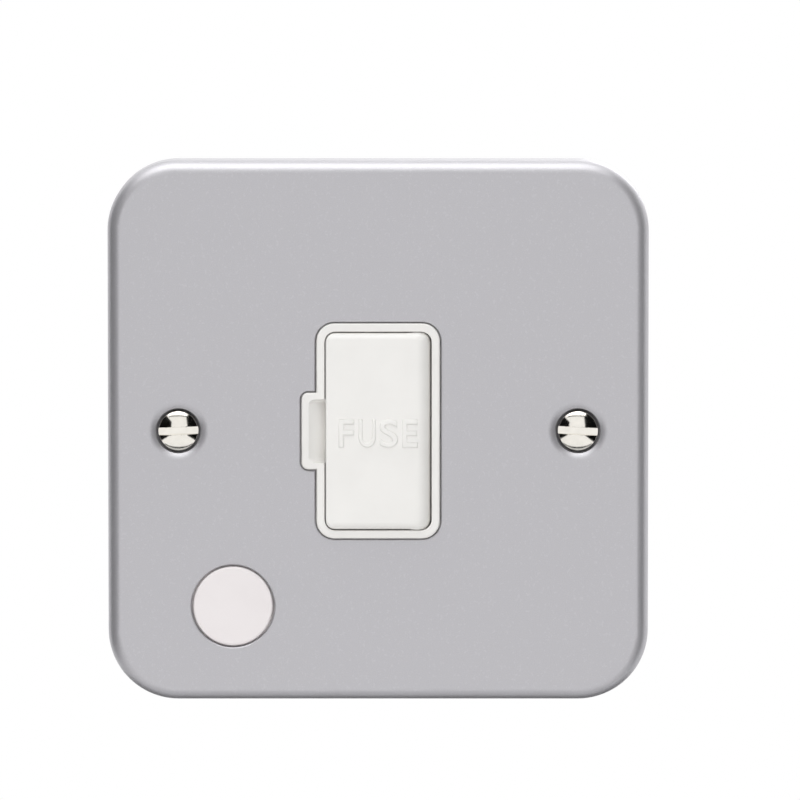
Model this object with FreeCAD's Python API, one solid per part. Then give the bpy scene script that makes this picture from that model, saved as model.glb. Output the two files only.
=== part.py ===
import FreeCAD, Part
import math
import os

# A metal-clad fused connection unit for one surface box, in millimetres.
# X is to the right, Z is up, and the front faces -Y. The origin is the middle of the two
# fixing screws, in the plane of the plate's rear rim, where the plate meets its box.

# Front plate, pressed from one sheet
PLATE_CORNER_R = 10.6
PLATE_DEPTH = 8.0
SHEET = 1.2
PLATE_BEND_R = 2.0
APERTURE_GAP = 0.15

# Fixing screws, M3.5 raised countersunk, in pressed dimples
FIXING_INSET = 10.6
FIXING_R = 1.75
FIXING_NECK_R = 1.4
FIXING_LENGTH = 25.0
FIXING_HOLE_R = 2.1
HEAD_R = 3.4
HEAD_SUNK = 0.6
HEAD_RIM = 0.1
HEAD_DOME = 0.8
HEAD_SLOT_WIDTH = 1.1
HEAD_SLOT_DEPTH = 1.3
RETAINER_LIP = 0.5
RETAINER_SIDE_GAP = 0.45
RETAINER_THICK = 1.0
RETAINER_GRIP_GAP = 0.03
RETAINER_NECK_GAP = 0.1

# White frame round the fuse carrier, and the lifting notch in its left side
FRAME_CORNER_R = 2.7
FRAME_PROUD = 0.4
FRAME_RIM = 1.2
FRAME_EDGE_R = 0.2
OPENING_CORNER_R = 1.6
LUG_REACH = 2.25
LUG_HEIGHT = 11.6
LUG_CORNER_R = 1.0
NOTCH_REACH = 1.15
NOTCH_HEIGHT = 9.3
NOTCH_SHALLOW = 0.7
NOTCH_DEEP = 2.0

# Fuse carrier, hinged on its right long edge
CARRIER_GAP = 0.2
CARRIER_PROUD = 0.8
CARRIER_THICK = 2.6
CARRIER_CORNER_R = 1.45
CARRIER_END_R = 1.1
CARRIER_LEFT_R = 0.3
HINGE_EDGE_R = 2.2
HINGE_BARREL_R = 1.5
HINGE_PIN_R = 0.95
HINGE_PIN_GAP = 0.05
HINGE_PIN_REACH = 0.8
HINGE_HOLE_END_GAP = 0.15

# Cartridge fuse, upright behind the carrier
FUSE_LENGTH = 25.4
FUSE_CAP_R = 3.175
FUSE_CAP_LENGTH = 6.0
FUSE_CAP_END = 0.5
FUSE_BARREL_R = 2.95
FUSE_X = -2.0
FUSE_STANDOFF = 0.8
CRADLE_CAP_GAP = 1.7
CRADLE_WALL = 1.2
CRADLE_WRAP = 1.6
CRADLE_GAP = 0.05
CHEEK_GAP = 0.15
CHEEK_THICK = 1.8
CHEEK_MARGIN = 0.2

# Fuse clips, folded from strip, with jaws that follow the fuse's swing
STRIP = 0.55
JAW_GAP = 0.15
JAW_SIDE_GAP = 0.6
JAW_HINGE_GAP = 1.875
JAW_LENGTH = 5.0
JAW_INSET = 0.7
JAW_START_GAP = 0.6
LINK_WIDTH = 5.0
LINK_LEFT_X = -3.0
LINK_CROSS_WIDTH = 3.3
LINK_PAD_LENGTH = 5.5
LINK_RUN_IN = 1.35

# Front moulding behind the plate
FLANGE_STUD_MARGIN = 3.0
FLANGE_END_MARGIN = 2.0
FLANGE_CORNER_R = 3.0
FLANGE_THICK = 2.0
FLANGE_EAR_MARGIN = 0.9
FLANGE_EAR_SIDE_MARGIN = 0.2
FLANGE_EAR_TOP_MARGIN = 1.9
POCKET_WALL = 1.4
POCKET_END_GAP = 0.25
TRAY_WALL = 1.6

# Terminal base, joined to the front moulding from behind
BASE_CORNER_R = 2.0
BASE_STRIP_RECESS = 2.25
BASE_FLOOR_THICK = 3.25
TOWER_HEIGHT = 11.0
CENTRE_HEIGHT = 3.5
EARTH_BAY_REACH = 1.8
EARTH_BAY_WALL = 1.9
SEAT_GAP = 0.1

# Brass terminal blocks and their screws
BLOCK_LINK_LAP = 1.6
BLOCK_WIDTH = 7.0
BLOCK_DEPTH = 9.0
BLOCK_LENGTH = 11.0
END_WALL = 1.8
EARTH_BLOCK_Z = 6.0
EARTH_BLOCK_LENGTH = 8.0
WIRE_BORE_R = 2.2
WIRE_BORE_WALL = 1.15
WIRE_BORE_BLIND = 1.2
WIRE_ENTRY_R = 2.7
CLAMP_R = 1.75
CLAMP_THREAD_GAP = 0.03
CLAMP_LENGTH = 6.0
CLAMP_TIP_GAP = 0.15
CLAMP_HEAD_R = 2.5
CLAMP_HEAD_HEIGHT = 1.6
CLAMP_SLOT_WIDTH = 0.9
CLAMP_SLOT_DEPTH = 0.9
CLAMP_ACCESS_GAP = 0.3

# Neutral link and earth strap
NEUTRAL_LINK_WIDTH = 3.6
NEUTRAL_LINK_GAP = 0.4
NEUTRAL_LINK_LAP = 4.2
EARTH_STRAP_WIDTH = 4.8
EARTH_FOOT_WIDTH = 6.4
EARTH_HEAD_WIDTH = 3.8
EARTH_HEAD_LAP = 3.2
EARTH_RISER_GAP = 0.2
EARTH_NUT_GAP = 0.3

# Studs welded to the plate, with washers and nuts
STUD_R = 1.5
STUD_LENGTH = 6.4
STUD_HOLE_GAP = 0.2
STUD_END_INSET = 6.5
STUD_LOWER_LEFT_Z = -8.0
NUT_ACROSS_FLATS = 5.5
NUT_SIDE_ROOM = 1.45
NUT_HEIGHT = 2.4
NUT_THREAD_GAP = 0.03
WASHER_R = 2.9
WASHER_BORE_GAP = 0.1
WASHER_THICK = 0.6
WASHER_SPLIT = 0.5

# Screws that join the base to the front moulding
JOIN_END_INSET = 5.5
JOIN_R = 1.45
JOIN_HEAD_R = 2.7
JOIN_HEAD_HEIGHT = 2.0
JOIN_HEAD_FLOOR = 3.2
JOIN_POST_R = 3.0
JOIN_THREAD_GAP = 0.03
JOIN_HOLE_GAP = 0.25
JOIN_REACH = 5.2
JOIN_TIP_GAP = 0.3
CROSS_WIDTH = 0.8
CROSS_DEPTH = 1.1

# Flex outlet and its blank
OUTLET_X = -21.9
OUTLET_Z = -26.5
OUTLET_HOLE_R = 6.25
OUTLET_BORE_R = 5.0
BLANK_GAP = 0.25
BLANK_FLANGE_R = 7.2
BLANK_FLANGE_THICK = 1.1
BLANK_SEAT_GAP = 0.1
BLANK_HOLLOW_R = 4.2
BLANK_HOLLOW_DEPTH = 1.2

# Cord grip on the back of the front moulding
GRIP_BASE_GAP = 0.4
GRIP_Z = -15.5
GRIP_HALF_SPAN = 6.8
GRIP_POST_R = 2.6
GRIP_POST_HEIGHT = 6.8
GRIP_BAR_HALF_WIDTH = 2.8
GRIP_BAR_THICK = 2.4
GRIP_RIB_HEIGHT = 0.8
GRIP_RIB_WIDTH = 1.4
GRIP_SCREW_R = 1.45
GRIP_SCREW_HEAD_R = 2.6
GRIP_SCREW_HEAD_HEIGHT = 1.6
GRIP_SCREW_REACH = 5.0
GRIP_THREAD_GAP = 0.03
GRIP_HOLE_GAP = 0.25

# How far a cutting shape runs past what it cuts
PAST = 1.0

# Levels from front to back
PLATE_FRONT = -PLATE_DEPTH
PLATE_BACK = PLATE_FRONT + SHEET
FRAME_FRONT = PLATE_FRONT - FRAME_PROUD
CARRIER_FRONT = FRAME_FRONT - CARRIER_PROUD
CARRIER_BACK = CARRIER_FRONT + CARRIER_THICK
HINGE_Y = CARRIER_FRONT + HINGE_EDGE_R
FLANGE_BACK = PLATE_BACK + FLANGE_THICK
FUSE_Y = CARRIER_BACK + FUSE_STANDOFF + FUSE_CAP_R
STRIP_FRONT = FUSE_Y + FUSE_CAP_R + JAW_GAP
BASE_FLOOR = STRIP_FRONT + STRIP
PART_LINE = BASE_FLOOR - BASE_STRIP_RECESS
BASE_LOW_BACK = BASE_FLOOR + BASE_FLOOR_THICK
TOWER_BACK = BASE_LOW_BACK + TOWER_HEIGHT
CENTRE_BACK = BASE_LOW_BACK + CENTRE_HEIGHT
BORE_Y = BASE_FLOOR + WIRE_BORE_WALL + WIRE_BORE_R
BLOCK_BACK = BASE_FLOOR + BLOCK_DEPTH

# Widths, from the fuse outwards. The fixing screws come out at the usual 60.3 apart.
HINGE_X = FUSE_X + FUSE_CAP_R + JAW_SIDE_GAP + STRIP + JAW_HINGE_GAP + HINGE_BARREL_R
FUSE_SWING_R = math.hypot(FUSE_X - HINGE_X, FUSE_Y - HINGE_Y)
CARRIER_WIDTH = 2 * (HINGE_X + HINGE_EDGE_R)
OPENING_WIDTH = CARRIER_WIDTH + 2 * CARRIER_GAP
FRAME_WIDTH = OPENING_WIDTH + 2 * FRAME_RIM
LINK_INNER_X = OPENING_WIDTH / 2 + POCKET_WALL + NEUTRAL_LINK_GAP
BLOCK_X = LINK_INNER_X + BLOCK_LINK_LAP
BASE_HALF_WIDTH = BLOCK_X + BLOCK_WIDTH / 2 + TRAY_WALL
TOWER_INNER_X = BLOCK_X - BLOCK_WIDTH / 2 - TRAY_WALL
EARTH_BAY_X = BASE_HALF_WIDTH + EARTH_BAY_REACH
EARTH_OUTER_X = EARTH_BAY_X - END_WALL
EARTH_INNER_X = EARTH_OUTER_X - EARTH_BLOCK_LENGTH
EARTH_SCREW_X = (EARTH_OUTER_X + EARTH_INNER_X) / 2
EARTH_BAY_INNER_X = EARTH_INNER_X - TRAY_WALL
EARTH_RISER_X = EARTH_BAY_X + EARTH_RISER_GAP
STUD_X = BASE_HALF_WIDTH + NUT_SIDE_ROOM + NUT_ACROSS_FLATS / 2
EARTH_STUD_X = EARTH_RISER_X + STRIP + EARTH_NUT_GAP + NUT_ACROSS_FLATS / 2
FLANGE_HALF_WIDTH = EARTH_STUD_X + FLANGE_STUD_MARGIN
RETAINER_R = HEAD_R + HEAD_SUNK + RETAINER_LIP
FIXING_X = FLANGE_HALF_WIDTH + RETAINER_SIDE_GAP + RETAINER_R
PLATE_SIDE = 2 * (FIXING_X + FIXING_INSET)

# Heights, from the fuse outwards
CRADLE_HALF_LENGTH = FUSE_LENGTH / 2 - FUSE_CAP_LENGTH - CRADLE_CAP_GAP
CHEEK_START = FUSE_LENGTH / 2 + CHEEK_GAP
CARRIER_HEIGHT = 2 * (CHEEK_START + CHEEK_THICK + CHEEK_MARGIN)
OPENING_HEIGHT = CARRIER_HEIGHT + 2 * CARRIER_GAP
FRAME_HEIGHT = OPENING_HEIGHT + 2 * FRAME_RIM
LINK_CROSS_Z = OPENING_HEIGHT / 2 + POCKET_WALL + NEUTRAL_LINK_GAP
BLOCK_INNER_Z = LINK_CROSS_Z + LINK_RUN_IN
BLOCK_OUTER_Z = BLOCK_INNER_Z + BLOCK_LENGTH
TOWER_INNER_Z = BLOCK_INNER_Z - END_WALL
BASE_HALF_HEIGHT = BLOCK_OUTER_Z + END_WALL
JOIN_Z = BASE_HALF_HEIGHT - JOIN_END_INSET
FLANGE_HALF_HEIGHT = BASE_HALF_HEIGHT + FLANGE_END_MARGIN
STUD_Z = FLANGE_HALF_HEIGHT - STUD_END_INSET
EARTH_BAY_HALF_HEIGHT = EARTH_BLOCK_Z + BLOCK_WIDTH / 2 + EARTH_BAY_WALL

# Cord grip, and the ear of the flange that reaches round it and the flex outlet
GRIP_X = -BASE_HALF_WIDTH - GRIP_BASE_GAP - GRIP_POST_R - GRIP_HALF_SPAN
FLANGE_EAR_LEFT = -GRIP_X + GRIP_HALF_SPAN + GRIP_POST_R + FLANGE_EAR_SIDE_MARGIN
FLANGE_EAR_RIGHT = -OUTLET_X - BLANK_FLANGE_R - BLANK_SEAT_GAP - FLANGE_EAR_MARGIN
FLANGE_EAR_BOTTOM = -OUTLET_Z + BLANK_FLANGE_R + BLANK_SEAT_GAP + FLANGE_EAR_MARGIN
FLANGE_EAR_TOP = -GRIP_Z - GRIP_POST_R - FLANGE_EAR_TOP_MARGIN

# Where the repeated pieces stand
STUDS =[(STUD_X, STUD_Z), (-STUD_X, STUD_Z), (STUD_X, -STUD_Z), (-STUD_X, STUD_LOWER_LEFT_Z)]
EARTH_STUD = (EARTH_STUD_X, 0.0)
MAIN_BLOCKS = {
    "supply_live_terminal": (BLOCK_X, 1),
    "supply_neutral_terminal": (-BLOCK_X, 1),
    "load_live_terminal": (BLOCK_X, -1),
    "load_neutral_terminal": (-BLOCK_X, -1),
}
EARTH_BLOCKS = {
    "supply_earth_terminal": EARTH_BLOCK_Z,
    "load_earth_terminal": -EARTH_BLOCK_Z,
}


def box(x_range, y_range, z_range):
    """A block between two values on each axis, given in either order."""
    x0, x1 = sorted(x_range)
    y0, y1 = sorted(y_range)
    z0, z1 = sorted(z_range)
    return Part.makeBox(x1 - x0, y1 - y0, z1 - z0, FreeCAD.Vector(x0, y0, z0))


def rod(radius, start, end):
    """A round bar from one point to another."""
    start = FreeCAD.Vector(*start)
    path = FreeCAD.Vector(*end) - start
    return Part.makeCylinder(radius, path.Length, start, path)


def rod_y(radius, x, z, y_start, y_end):
    """A round bar along Y."""
    return rod(radius, (x, y_start, z), (x, y_end, z))


def cone_y(x, z, y_start, r_start, y_end, r_end):
    """A cone along Y that widens or narrows from one level to the other."""
    start = FreeCAD.Vector(x, y_start, z)
    return Part.makeCone(r_start, r_end, y_end - y_start, start, FreeCAD.Vector(0, 1, 0))


def pad(width, height, corner_r, y_start, y_end, x=0.0, z=0.0):
    """A block with round corners, flat to the plate, centred on x and z."""
    r = min(corner_r, width / 2 - 0.01, height / 2 - 0.01)
    block = box((x - width / 2, x + width / 2), (y_start, y_end), (z - height / 2, z + height / 2))
    upright = [e for e in block.Edges if abs(e.tangentAt(e.FirstParameter).y) > 0.9]
    return block.makeFillet(r, upright)


def edges_at(shape, y):
    """The edges that lie wholly in the plane at y."""
    return [
        edge for edge in shape.Edges
        if abs(edge.BoundBox.YMin - y) < 1e-4 and abs(edge.BoundBox.YMax - y) < 1e-4
    ]


def prism_xy(points, z_start, z_end):
    """A straight-sided profile in X and Y, drawn out along Z."""
    loop = [FreeCAD.Vector(x, y, z_start) for x, y in points]
    face = Part.Face(Part.makePolygon(loop + loop[:1]))
    return face.extrude(FreeCAD.Vector(0, 0, z_end - z_start))


def joined(shapes):
    """One solid of several that touch or overlap."""
    return shapes[0].fuse(shapes[1:]).removeSplitter()


def solids(shapes):
    """Several like pieces kept apart in one file."""
    return Part.makeCompound(shapes)


def save(name, shape):
    shape.exportStep("parts/" + name + ".step")


def fixing_places():
    return [(-FIXING_X, 0.0), (FIXING_X, 0.0)]


def frame_block(grow, y_start, y_end):
    """The white frame's outline with its side lug, as a block, grown by a gap all round."""
    frame = pad(FRAME_WIDTH + 2 * grow, FRAME_HEIGHT + 2 * grow, FRAME_CORNER_R + grow, y_start, y_end)
    lug_width = LUG_REACH + FRAME_WIDTH / 2
    lug = pad(
        lug_width + 2 * grow, LUG_HEIGHT + 2 * grow, LUG_CORNER_R + grow,
        y_start, y_end, x=-lug_width / 2,
    )
    return joined([frame, lug])


def pressed_pan(side, corner_r, bend_r, y_front, y_back):
    """A square block with round corners and a rolled front edge."""
    block = pad(side, side, corner_r, y_front, y_back)
    return block.makeFillet(bend_r, edges_at(block, y_front))


def front_plate():
    outer = pressed_pan(PLATE_SIDE, PLATE_CORNER_R, PLATE_BEND_R, PLATE_FRONT, 0.0)
    inner = pressed_pan(
        PLATE_SIDE - 2 * SHEET, PLATE_CORNER_R - SHEET, PLATE_BEND_R - SHEET, PLATE_BACK, PAST,
    )
    plate = outer.cut(inner)
    cone_top_r = HEAD_R + HEAD_SUNK
    slope_shift = SHEET * math.sqrt(2)
    cone_depth = cone_top_r - FIXING_HOLE_R
    back_r = cone_top_r - SHEET + slope_shift
    back_end = PLATE_FRONT + cone_depth + slope_shift / 2
    for x, z in fixing_places():
        back_end_r = back_r - (back_end - PLATE_BACK)
        plate = plate.fuse(cone_y(x, z, PLATE_BACK, back_r, back_end, back_end_r))
        plate = plate.cut(cone_y(x, z, PLATE_FRONT, cone_top_r, PLATE_FRONT + cone_depth, FIXING_HOLE_R))
        plate = plate.cut(rod_y(FIXING_HOLE_R, x, z, PLATE_FRONT, back_end + PAST))
    plate = plate.cut(frame_block(APERTURE_GAP, PLATE_FRONT - PAST, PLATE_BACK + PAST))
    outlet = rod_y(OUTLET_HOLE_R, OUTLET_X, OUTLET_Z, PLATE_FRONT - PAST, PLATE_BACK + PAST)
    return plate.cut(outlet)


def dimple_back():
    """The level of the sheet's inner end round a fixing screw."""
    return PLATE_FRONT + HEAD_R + HEAD_SUNK - FIXING_HOLE_R + SHEET * math.sqrt(2) / 2


def fixing_screws():
    made = []
    seat = PLATE_FRONT + HEAD_SUNK
    cone_end = seat + HEAD_R - FIXING_NECK_R
    neck_end = dimple_back() + RETAINER_THICK + RETAINER_NECK_GAP
    rim_front = seat - HEAD_RIM
    dome_r = (HEAD_R ** 2 + HEAD_DOME ** 2) / (2 * HEAD_DOME)
    for x, z in fixing_places():
        ball = Part.makeSphere(dome_r, FreeCAD.Vector(x, rim_front - HEAD_DOME + dome_r, z))
        dome = ball.common(rod_y(HEAD_R, x, z, rim_front - HEAD_DOME - PAST, rim_front))
        rim = rod_y(HEAD_R, x, z, rim_front, seat)
        cone = cone_y(x, z, seat, HEAD_R, cone_end, FIXING_NECK_R)
        neck = rod_y(FIXING_NECK_R, x, z, cone_end, neck_end)
        shank = rod_y(FIXING_R, x, z, neck_end, seat + FIXING_LENGTH)
        top = rim_front - HEAD_DOME
        slot = box(
            (x - HEAD_R - PAST, x + HEAD_R + PAST), (top - PAST, top + HEAD_SLOT_DEPTH),
            (z - HEAD_SLOT_WIDTH / 2, z + HEAD_SLOT_WIDTH / 2),
        )
        made.append(joined([dome, rim, cone, neck, shank]).cut(slot))
    return solids(made)


def screw_retaining_washers():
    start = dimple_back()
    made = []
    for x, z in fixing_places():
        disc = rod_y(RETAINER_R, x, z, start, start + RETAINER_THICK)
        hole = rod_y(FIXING_NECK_R + RETAINER_GRIP_GAP, x, z, start - PAST, start + RETAINER_THICK + PAST)
        made.append(disc.cut(hole))
    return solids(made)


def base_outline(grow, y_start, y_end):
    """The terminal base's outline with its earth bay, as a block, grown or shrunk."""
    main = pad(
        2 * (BASE_HALF_WIDTH + grow), 2 * (BASE_HALF_HEIGHT + grow), BASE_CORNER_R + grow,
        y_start, y_end,
    )
    bay = box(
        (0.0, EARTH_BAY_X + grow), (y_start, y_end),
        (-EARTH_BAY_HALF_HEIGHT - grow, EARTH_BAY_HALF_HEIGHT + grow),
    )
    return joined([main, bay])


def flange():
    main = pad(
        2 * FLANGE_HALF_WIDTH, 2 * FLANGE_HALF_HEIGHT, FLANGE_CORNER_R, PLATE_BACK, FLANGE_BACK,
    )
    ear = pad(
        FLANGE_EAR_LEFT - FLANGE_EAR_RIGHT, FLANGE_EAR_BOTTOM - FLANGE_EAR_TOP, FLANGE_CORNER_R,
        PLATE_BACK, FLANGE_BACK,
        x=-(FLANGE_EAR_LEFT + FLANGE_EAR_RIGHT) / 2, z=-(FLANGE_EAR_BOTTOM + FLANGE_EAR_TOP) / 2,
    )
    return joined([main, ear])


def opening_block(grow, y_start, y_end):
    """The space that the fuse carrier and the fuse fill, grown by a wall."""
    return pad(
        OPENING_WIDTH + 2 * grow, OPENING_HEIGHT + 2 * grow, OPENING_CORNER_R + grow, y_start, y_end,
    )


def notch():
    """A wedge that deepens towards the carrier, so that a blade gets under its edge."""
    edge = -OPENING_WIDTH / 2
    outer = -FRAME_WIDTH / 2 - NOTCH_REACH
    profile = [
        (outer, FRAME_FRONT - PAST), (outer, FRAME_FRONT + NOTCH_SHALLOW),
        (edge + PAST, FRAME_FRONT + NOTCH_DEEP), (edge + PAST, FRAME_FRONT - PAST),
    ]
    return prism_xy(profile, -NOTCH_HEIGHT / 2, NOTCH_HEIGHT / 2)


def grip_places():
    return [(GRIP_X - GRIP_HALF_SPAN, GRIP_Z), (GRIP_X + GRIP_HALF_SPAN, GRIP_Z)]


def join_places():
    return [(0.0, -JOIN_Z), (0.0, JOIN_Z)]


def front_moulding():
    tower = frame_block(0.0, FRAME_FRONT, PLATE_BACK)
    tower = tower.makeFillet(FRAME_EDGE_R, edges_at(tower, FRAME_FRONT))
    tray = base_outline(0.0, FLANGE_BACK, PART_LINE)
    tray = tray.cut(base_outline(-TRAY_WALL, FLANGE_BACK - PAST, PART_LINE + PAST))
    pocket = opening_block(POCKET_WALL, FLANGE_BACK, STRIP_FRONT - POCKET_END_GAP)
    pieces = [tower, flange(), tray, pocket]
    for x, z in join_places():
        pieces.append(rod_y(JOIN_POST_R, x, z, FLANGE_BACK, BASE_FLOOR))
    for x, z in grip_places():
        pieces.append(rod_y(GRIP_POST_R, x, z, FLANGE_BACK, FLANGE_BACK + GRIP_POST_HEIGHT))
    pieces.append(box(
        (GRIP_X - GRIP_HALF_SPAN, GRIP_X + GRIP_HALF_SPAN), (FLANGE_BACK, FLANGE_BACK + GRIP_RIB_HEIGHT),
        (GRIP_Z - GRIP_RIB_WIDTH / 2, GRIP_Z + GRIP_RIB_WIDTH / 2),
    ))
    moulding = joined(pieces)
    cuts = [opening_block(0.0, FRAME_FRONT - PAST, BASE_FLOOR), notch()]
    hole_end = OPENING_HEIGHT / 2 + HINGE_PIN_REACH + HINGE_HOLE_END_GAP
    cuts.append(hinge_rod(HINGE_PIN_R + HINGE_PIN_GAP, hole_end))
    seat_depth = BLANK_FLANGE_THICK + BLANK_SEAT_GAP
    cuts.append(rod_y(OUTLET_BORE_R, OUTLET_X, OUTLET_Z, PLATE_BACK - PAST, FLANGE_BACK + PAST))
    cuts.append(rod_y(
        BLANK_FLANGE_R + BLANK_SEAT_GAP, OUTLET_X, OUTLET_Z, PLATE_BACK - PAST, PLATE_BACK + seat_depth,
    ))
    for x, z in STUDS + [EARTH_STUD]:
        cuts.append(rod_y(STUD_R + STUD_HOLE_GAP, x, z, PLATE_BACK - PAST, FLANGE_BACK + PAST))
    for x, z in join_places():
        tip = JOIN_REACH + JOIN_TIP_GAP
        cuts.append(rod_y(JOIN_R + JOIN_THREAD_GAP, x, z, BASE_FLOOR - tip, BASE_FLOOR + PAST))
    for x, z in grip_places():
        post_end = FLANGE_BACK + GRIP_POST_HEIGHT
        tip = post_end - GRIP_SCREW_REACH - JOIN_TIP_GAP
        cuts.append(rod_y(GRIP_SCREW_R + GRIP_THREAD_GAP, x, z, tip, post_end + PAST))
    return moulding.cut(cuts)


def hinge_rod(radius, half_length):
    """A round bar along the hinge's axis."""
    return rod(radius, (HINGE_X, HINGE_Y, -half_length), (HINGE_X, HINGE_Y, half_length))


def carrier_slab():
    """The carrier's front: round corners, rolled ends, and a round hinge edge on the right."""
    half_width = CARRIER_WIDTH / 2
    half_height = CARRIER_HEIGHT / 2
    face = pad(CARRIER_WIDTH, CARRIER_HEIGHT, CARRIER_CORNER_R, CARRIER_FRONT, CARRIER_BACK)
    long_block = box((-half_width, half_width), (CARRIER_FRONT, CARRIER_BACK), (-half_height, half_height))
    ends = [
        e for e in long_block.Edges
        if abs(e.CenterOfMass.y - CARRIER_FRONT) < 1e-4 and abs(abs(e.CenterOfMass.z) - half_height) < 1e-4
    ]
    rolled_ends = long_block.makeFillet(CARRIER_END_R, ends)
    sides = {
        side: [
            e for e in long_block.Edges
            if abs(e.CenterOfMass.y - CARRIER_FRONT) < 1e-4 and abs(e.CenterOfMass.x - side) < 1e-4
        ]
        for side in (-half_width, half_width)
    }
    rolled_left = long_block.makeFillet(CARRIER_LEFT_R, sides[-half_width])
    rolled_right = long_block.makeFillet(HINGE_EDGE_R, sides[half_width])
    slab = face.common(rolled_ends).common(rolled_left).common(rolled_right)
    return slab.common(hinge_sweep(half_width, half_height))


def hinge_sweep(half_width, half_height):
    """Room for the slab: all that is left of the hinge, and a rolled-end round about the hinge."""
    turned = hinge_rod(HINGE_EDGE_R, half_height)
    rims = [e for e in turned.Edges if abs(abs(e.CenterOfMass.z) - half_height) < 1e-4]
    turned = turned.makeFillet(CARRIER_END_R, rims)
    left = box(
        (-half_width - PAST, HINGE_X), (CARRIER_FRONT - PAST, CARRIER_BACK + PAST),
        (-half_height - PAST, half_height + PAST),
    )
    return left.fuse(turned)


def fuse_carrier():
    half_height = CARRIER_HEIGHT / 2
    barrel = hinge_rod(HINGE_BARREL_R, half_height)
    pin = hinge_rod(HINGE_PIN_R, OPENING_HEIGHT / 2 + HINGE_PIN_REACH)
    bore_r = FUSE_BARREL_R + CRADLE_GAP
    half_cradle = bore_r + CRADLE_WALL
    cradle_x = (FUSE_X - half_cradle, FUSE_X + half_cradle)
    cradle_y = (CARRIER_BACK - PAST, FUSE_Y + CRADLE_WRAP)
    cradle = box(cradle_x, cradle_y, (-CRADLE_HALF_LENGTH, CRADLE_HALF_LENGTH))
    cradle = cradle.cut(rod(bore_r, (FUSE_X, FUSE_Y, -half_height), (FUSE_X, FUSE_Y, half_height)))
    pieces = [carrier_slab(), barrel, pin, cradle]
    for side in (-1, 1):
        pieces.append(box(cradle_x, cradle_y, (side * CHEEK_START, side * (CHEEK_START + CHEEK_THICK))))
    return joined(pieces)


def fuse_core():
    """The ceramic barrel, which runs on inside both caps."""
    half = FUSE_LENGTH / 2 - FUSE_CAP_END
    return rod(FUSE_BARREL_R, (FUSE_X, FUSE_Y, -half), (FUSE_X, FUSE_Y, half))


def fuse_end_caps():
    made = []
    for side in (-1, 1):
        end = side * FUSE_LENGTH / 2
        start = end - side * FUSE_CAP_LENGTH
        cap = rod(FUSE_CAP_R, (FUSE_X, FUSE_Y, start), (FUSE_X, FUSE_Y, end))
        made.append(cap.cut(fuse_core()))
    return solids(made)


def jaw_block(y_back, inner_r, outer_r, right_x, z_range):
    """The part of a ring round the hinge that a clip's outside or inside fills."""
    reach = max(abs(z) for z in z_range) + PAST
    ring = hinge_rod(outer_r, reach).cut(hinge_rod(inner_r, reach + PAST))
    leg_start = CARRIER_BACK + JAW_START_GAP
    return ring.common(box((HINGE_X - 2 * outer_r, right_x), (leg_start, y_back), z_range))


def fuse_clip(side):
    """A sprung U round a fuse cap, with its strip to the live terminal on the same side."""
    cap_end = FUSE_LENGTH / 2 - JAW_INSET
    z_range = tuple(sorted((side * (cap_end - JAW_LENGTH), side * cap_end)))
    reach = FUSE_CAP_R + JAW_GAP
    jaw_x = FUSE_X + FUSE_CAP_R + JAW_SIDE_GAP
    outside = jaw_block(
        BASE_FLOOR, FUSE_SWING_R - reach - STRIP, FUSE_SWING_R + reach + STRIP, jaw_x + STRIP, z_range,
    )
    inside = jaw_block(
        STRIP_FRONT, FUSE_SWING_R - reach, FUSE_SWING_R + reach, jaw_x, z_range,
    )
    cross_end = LINK_CROSS_Z + LINK_CROSS_WIDTH
    level = (STRIP_FRONT, BASE_FLOOR)
    tail = box((LINK_LEFT_X, LINK_LEFT_X + LINK_WIDTH), level, (side * cap_end, side * cross_end))
    block_right = BLOCK_X + BLOCK_WIDTH / 2
    cross = box((LINK_LEFT_X, block_right), level, (side * LINK_CROSS_Z, side * cross_end))
    lap = box(
        (BLOCK_X - BLOCK_WIDTH / 2, block_right), level,
        (side * LINK_CROSS_Z, side * (LINK_CROSS_Z + LINK_PAD_LENGTH)),
    )
    return joined([outside.cut(inside), tail, cross, lap])


def clamp_screw_places():
    places = [(x, side * (BLOCK_INNER_Z + BLOCK_LENGTH / 2)) for x, side in MAIN_BLOCKS.values()]
    return places + [(EARTH_SCREW_X, z) for z in EARTH_BLOCKS.values()]


def main_block_box(x, side, gap):
    half = BLOCK_WIDTH / 2 + gap
    z_range = (side * (BLOCK_INNER_Z - gap), side * (BLOCK_OUTER_Z + gap))
    return box((x - half, x + half), (BASE_FLOOR, BLOCK_BACK + gap), z_range)


def earth_block_box(z, gap):
    half = BLOCK_WIDTH / 2 + gap
    x_range = (EARTH_INNER_X - gap, EARTH_OUTER_X + gap)
    return box(x_range, (BASE_FLOOR, BLOCK_BACK + gap), (z - half, z + half))


def clamp_hole(x, z):
    return rod_y(CLAMP_R + CLAMP_THREAD_GAP, x, z, BORE_Y, BLOCK_BACK + PAST)


def main_terminal(x, side):
    bore = rod(
        WIRE_BORE_R, (x, BORE_Y, side * (BLOCK_INNER_Z + WIRE_BORE_BLIND)),
        (x, BORE_Y, side * (BLOCK_OUTER_Z + PAST)),
    )
    block = main_block_box(x, side, 0.0).cut(bore)
    return block.cut(clamp_hole(x, side * (BLOCK_INNER_Z + BLOCK_LENGTH / 2)))


def earth_terminal(z):
    bore = rod(WIRE_BORE_R, (EARTH_INNER_X + WIRE_BORE_BLIND, BORE_Y, z), (EARTH_OUTER_X + PAST, BORE_Y, z))
    return earth_block_box(z, 0.0).cut(bore).cut(clamp_hole(EARTH_SCREW_X, z))


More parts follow.
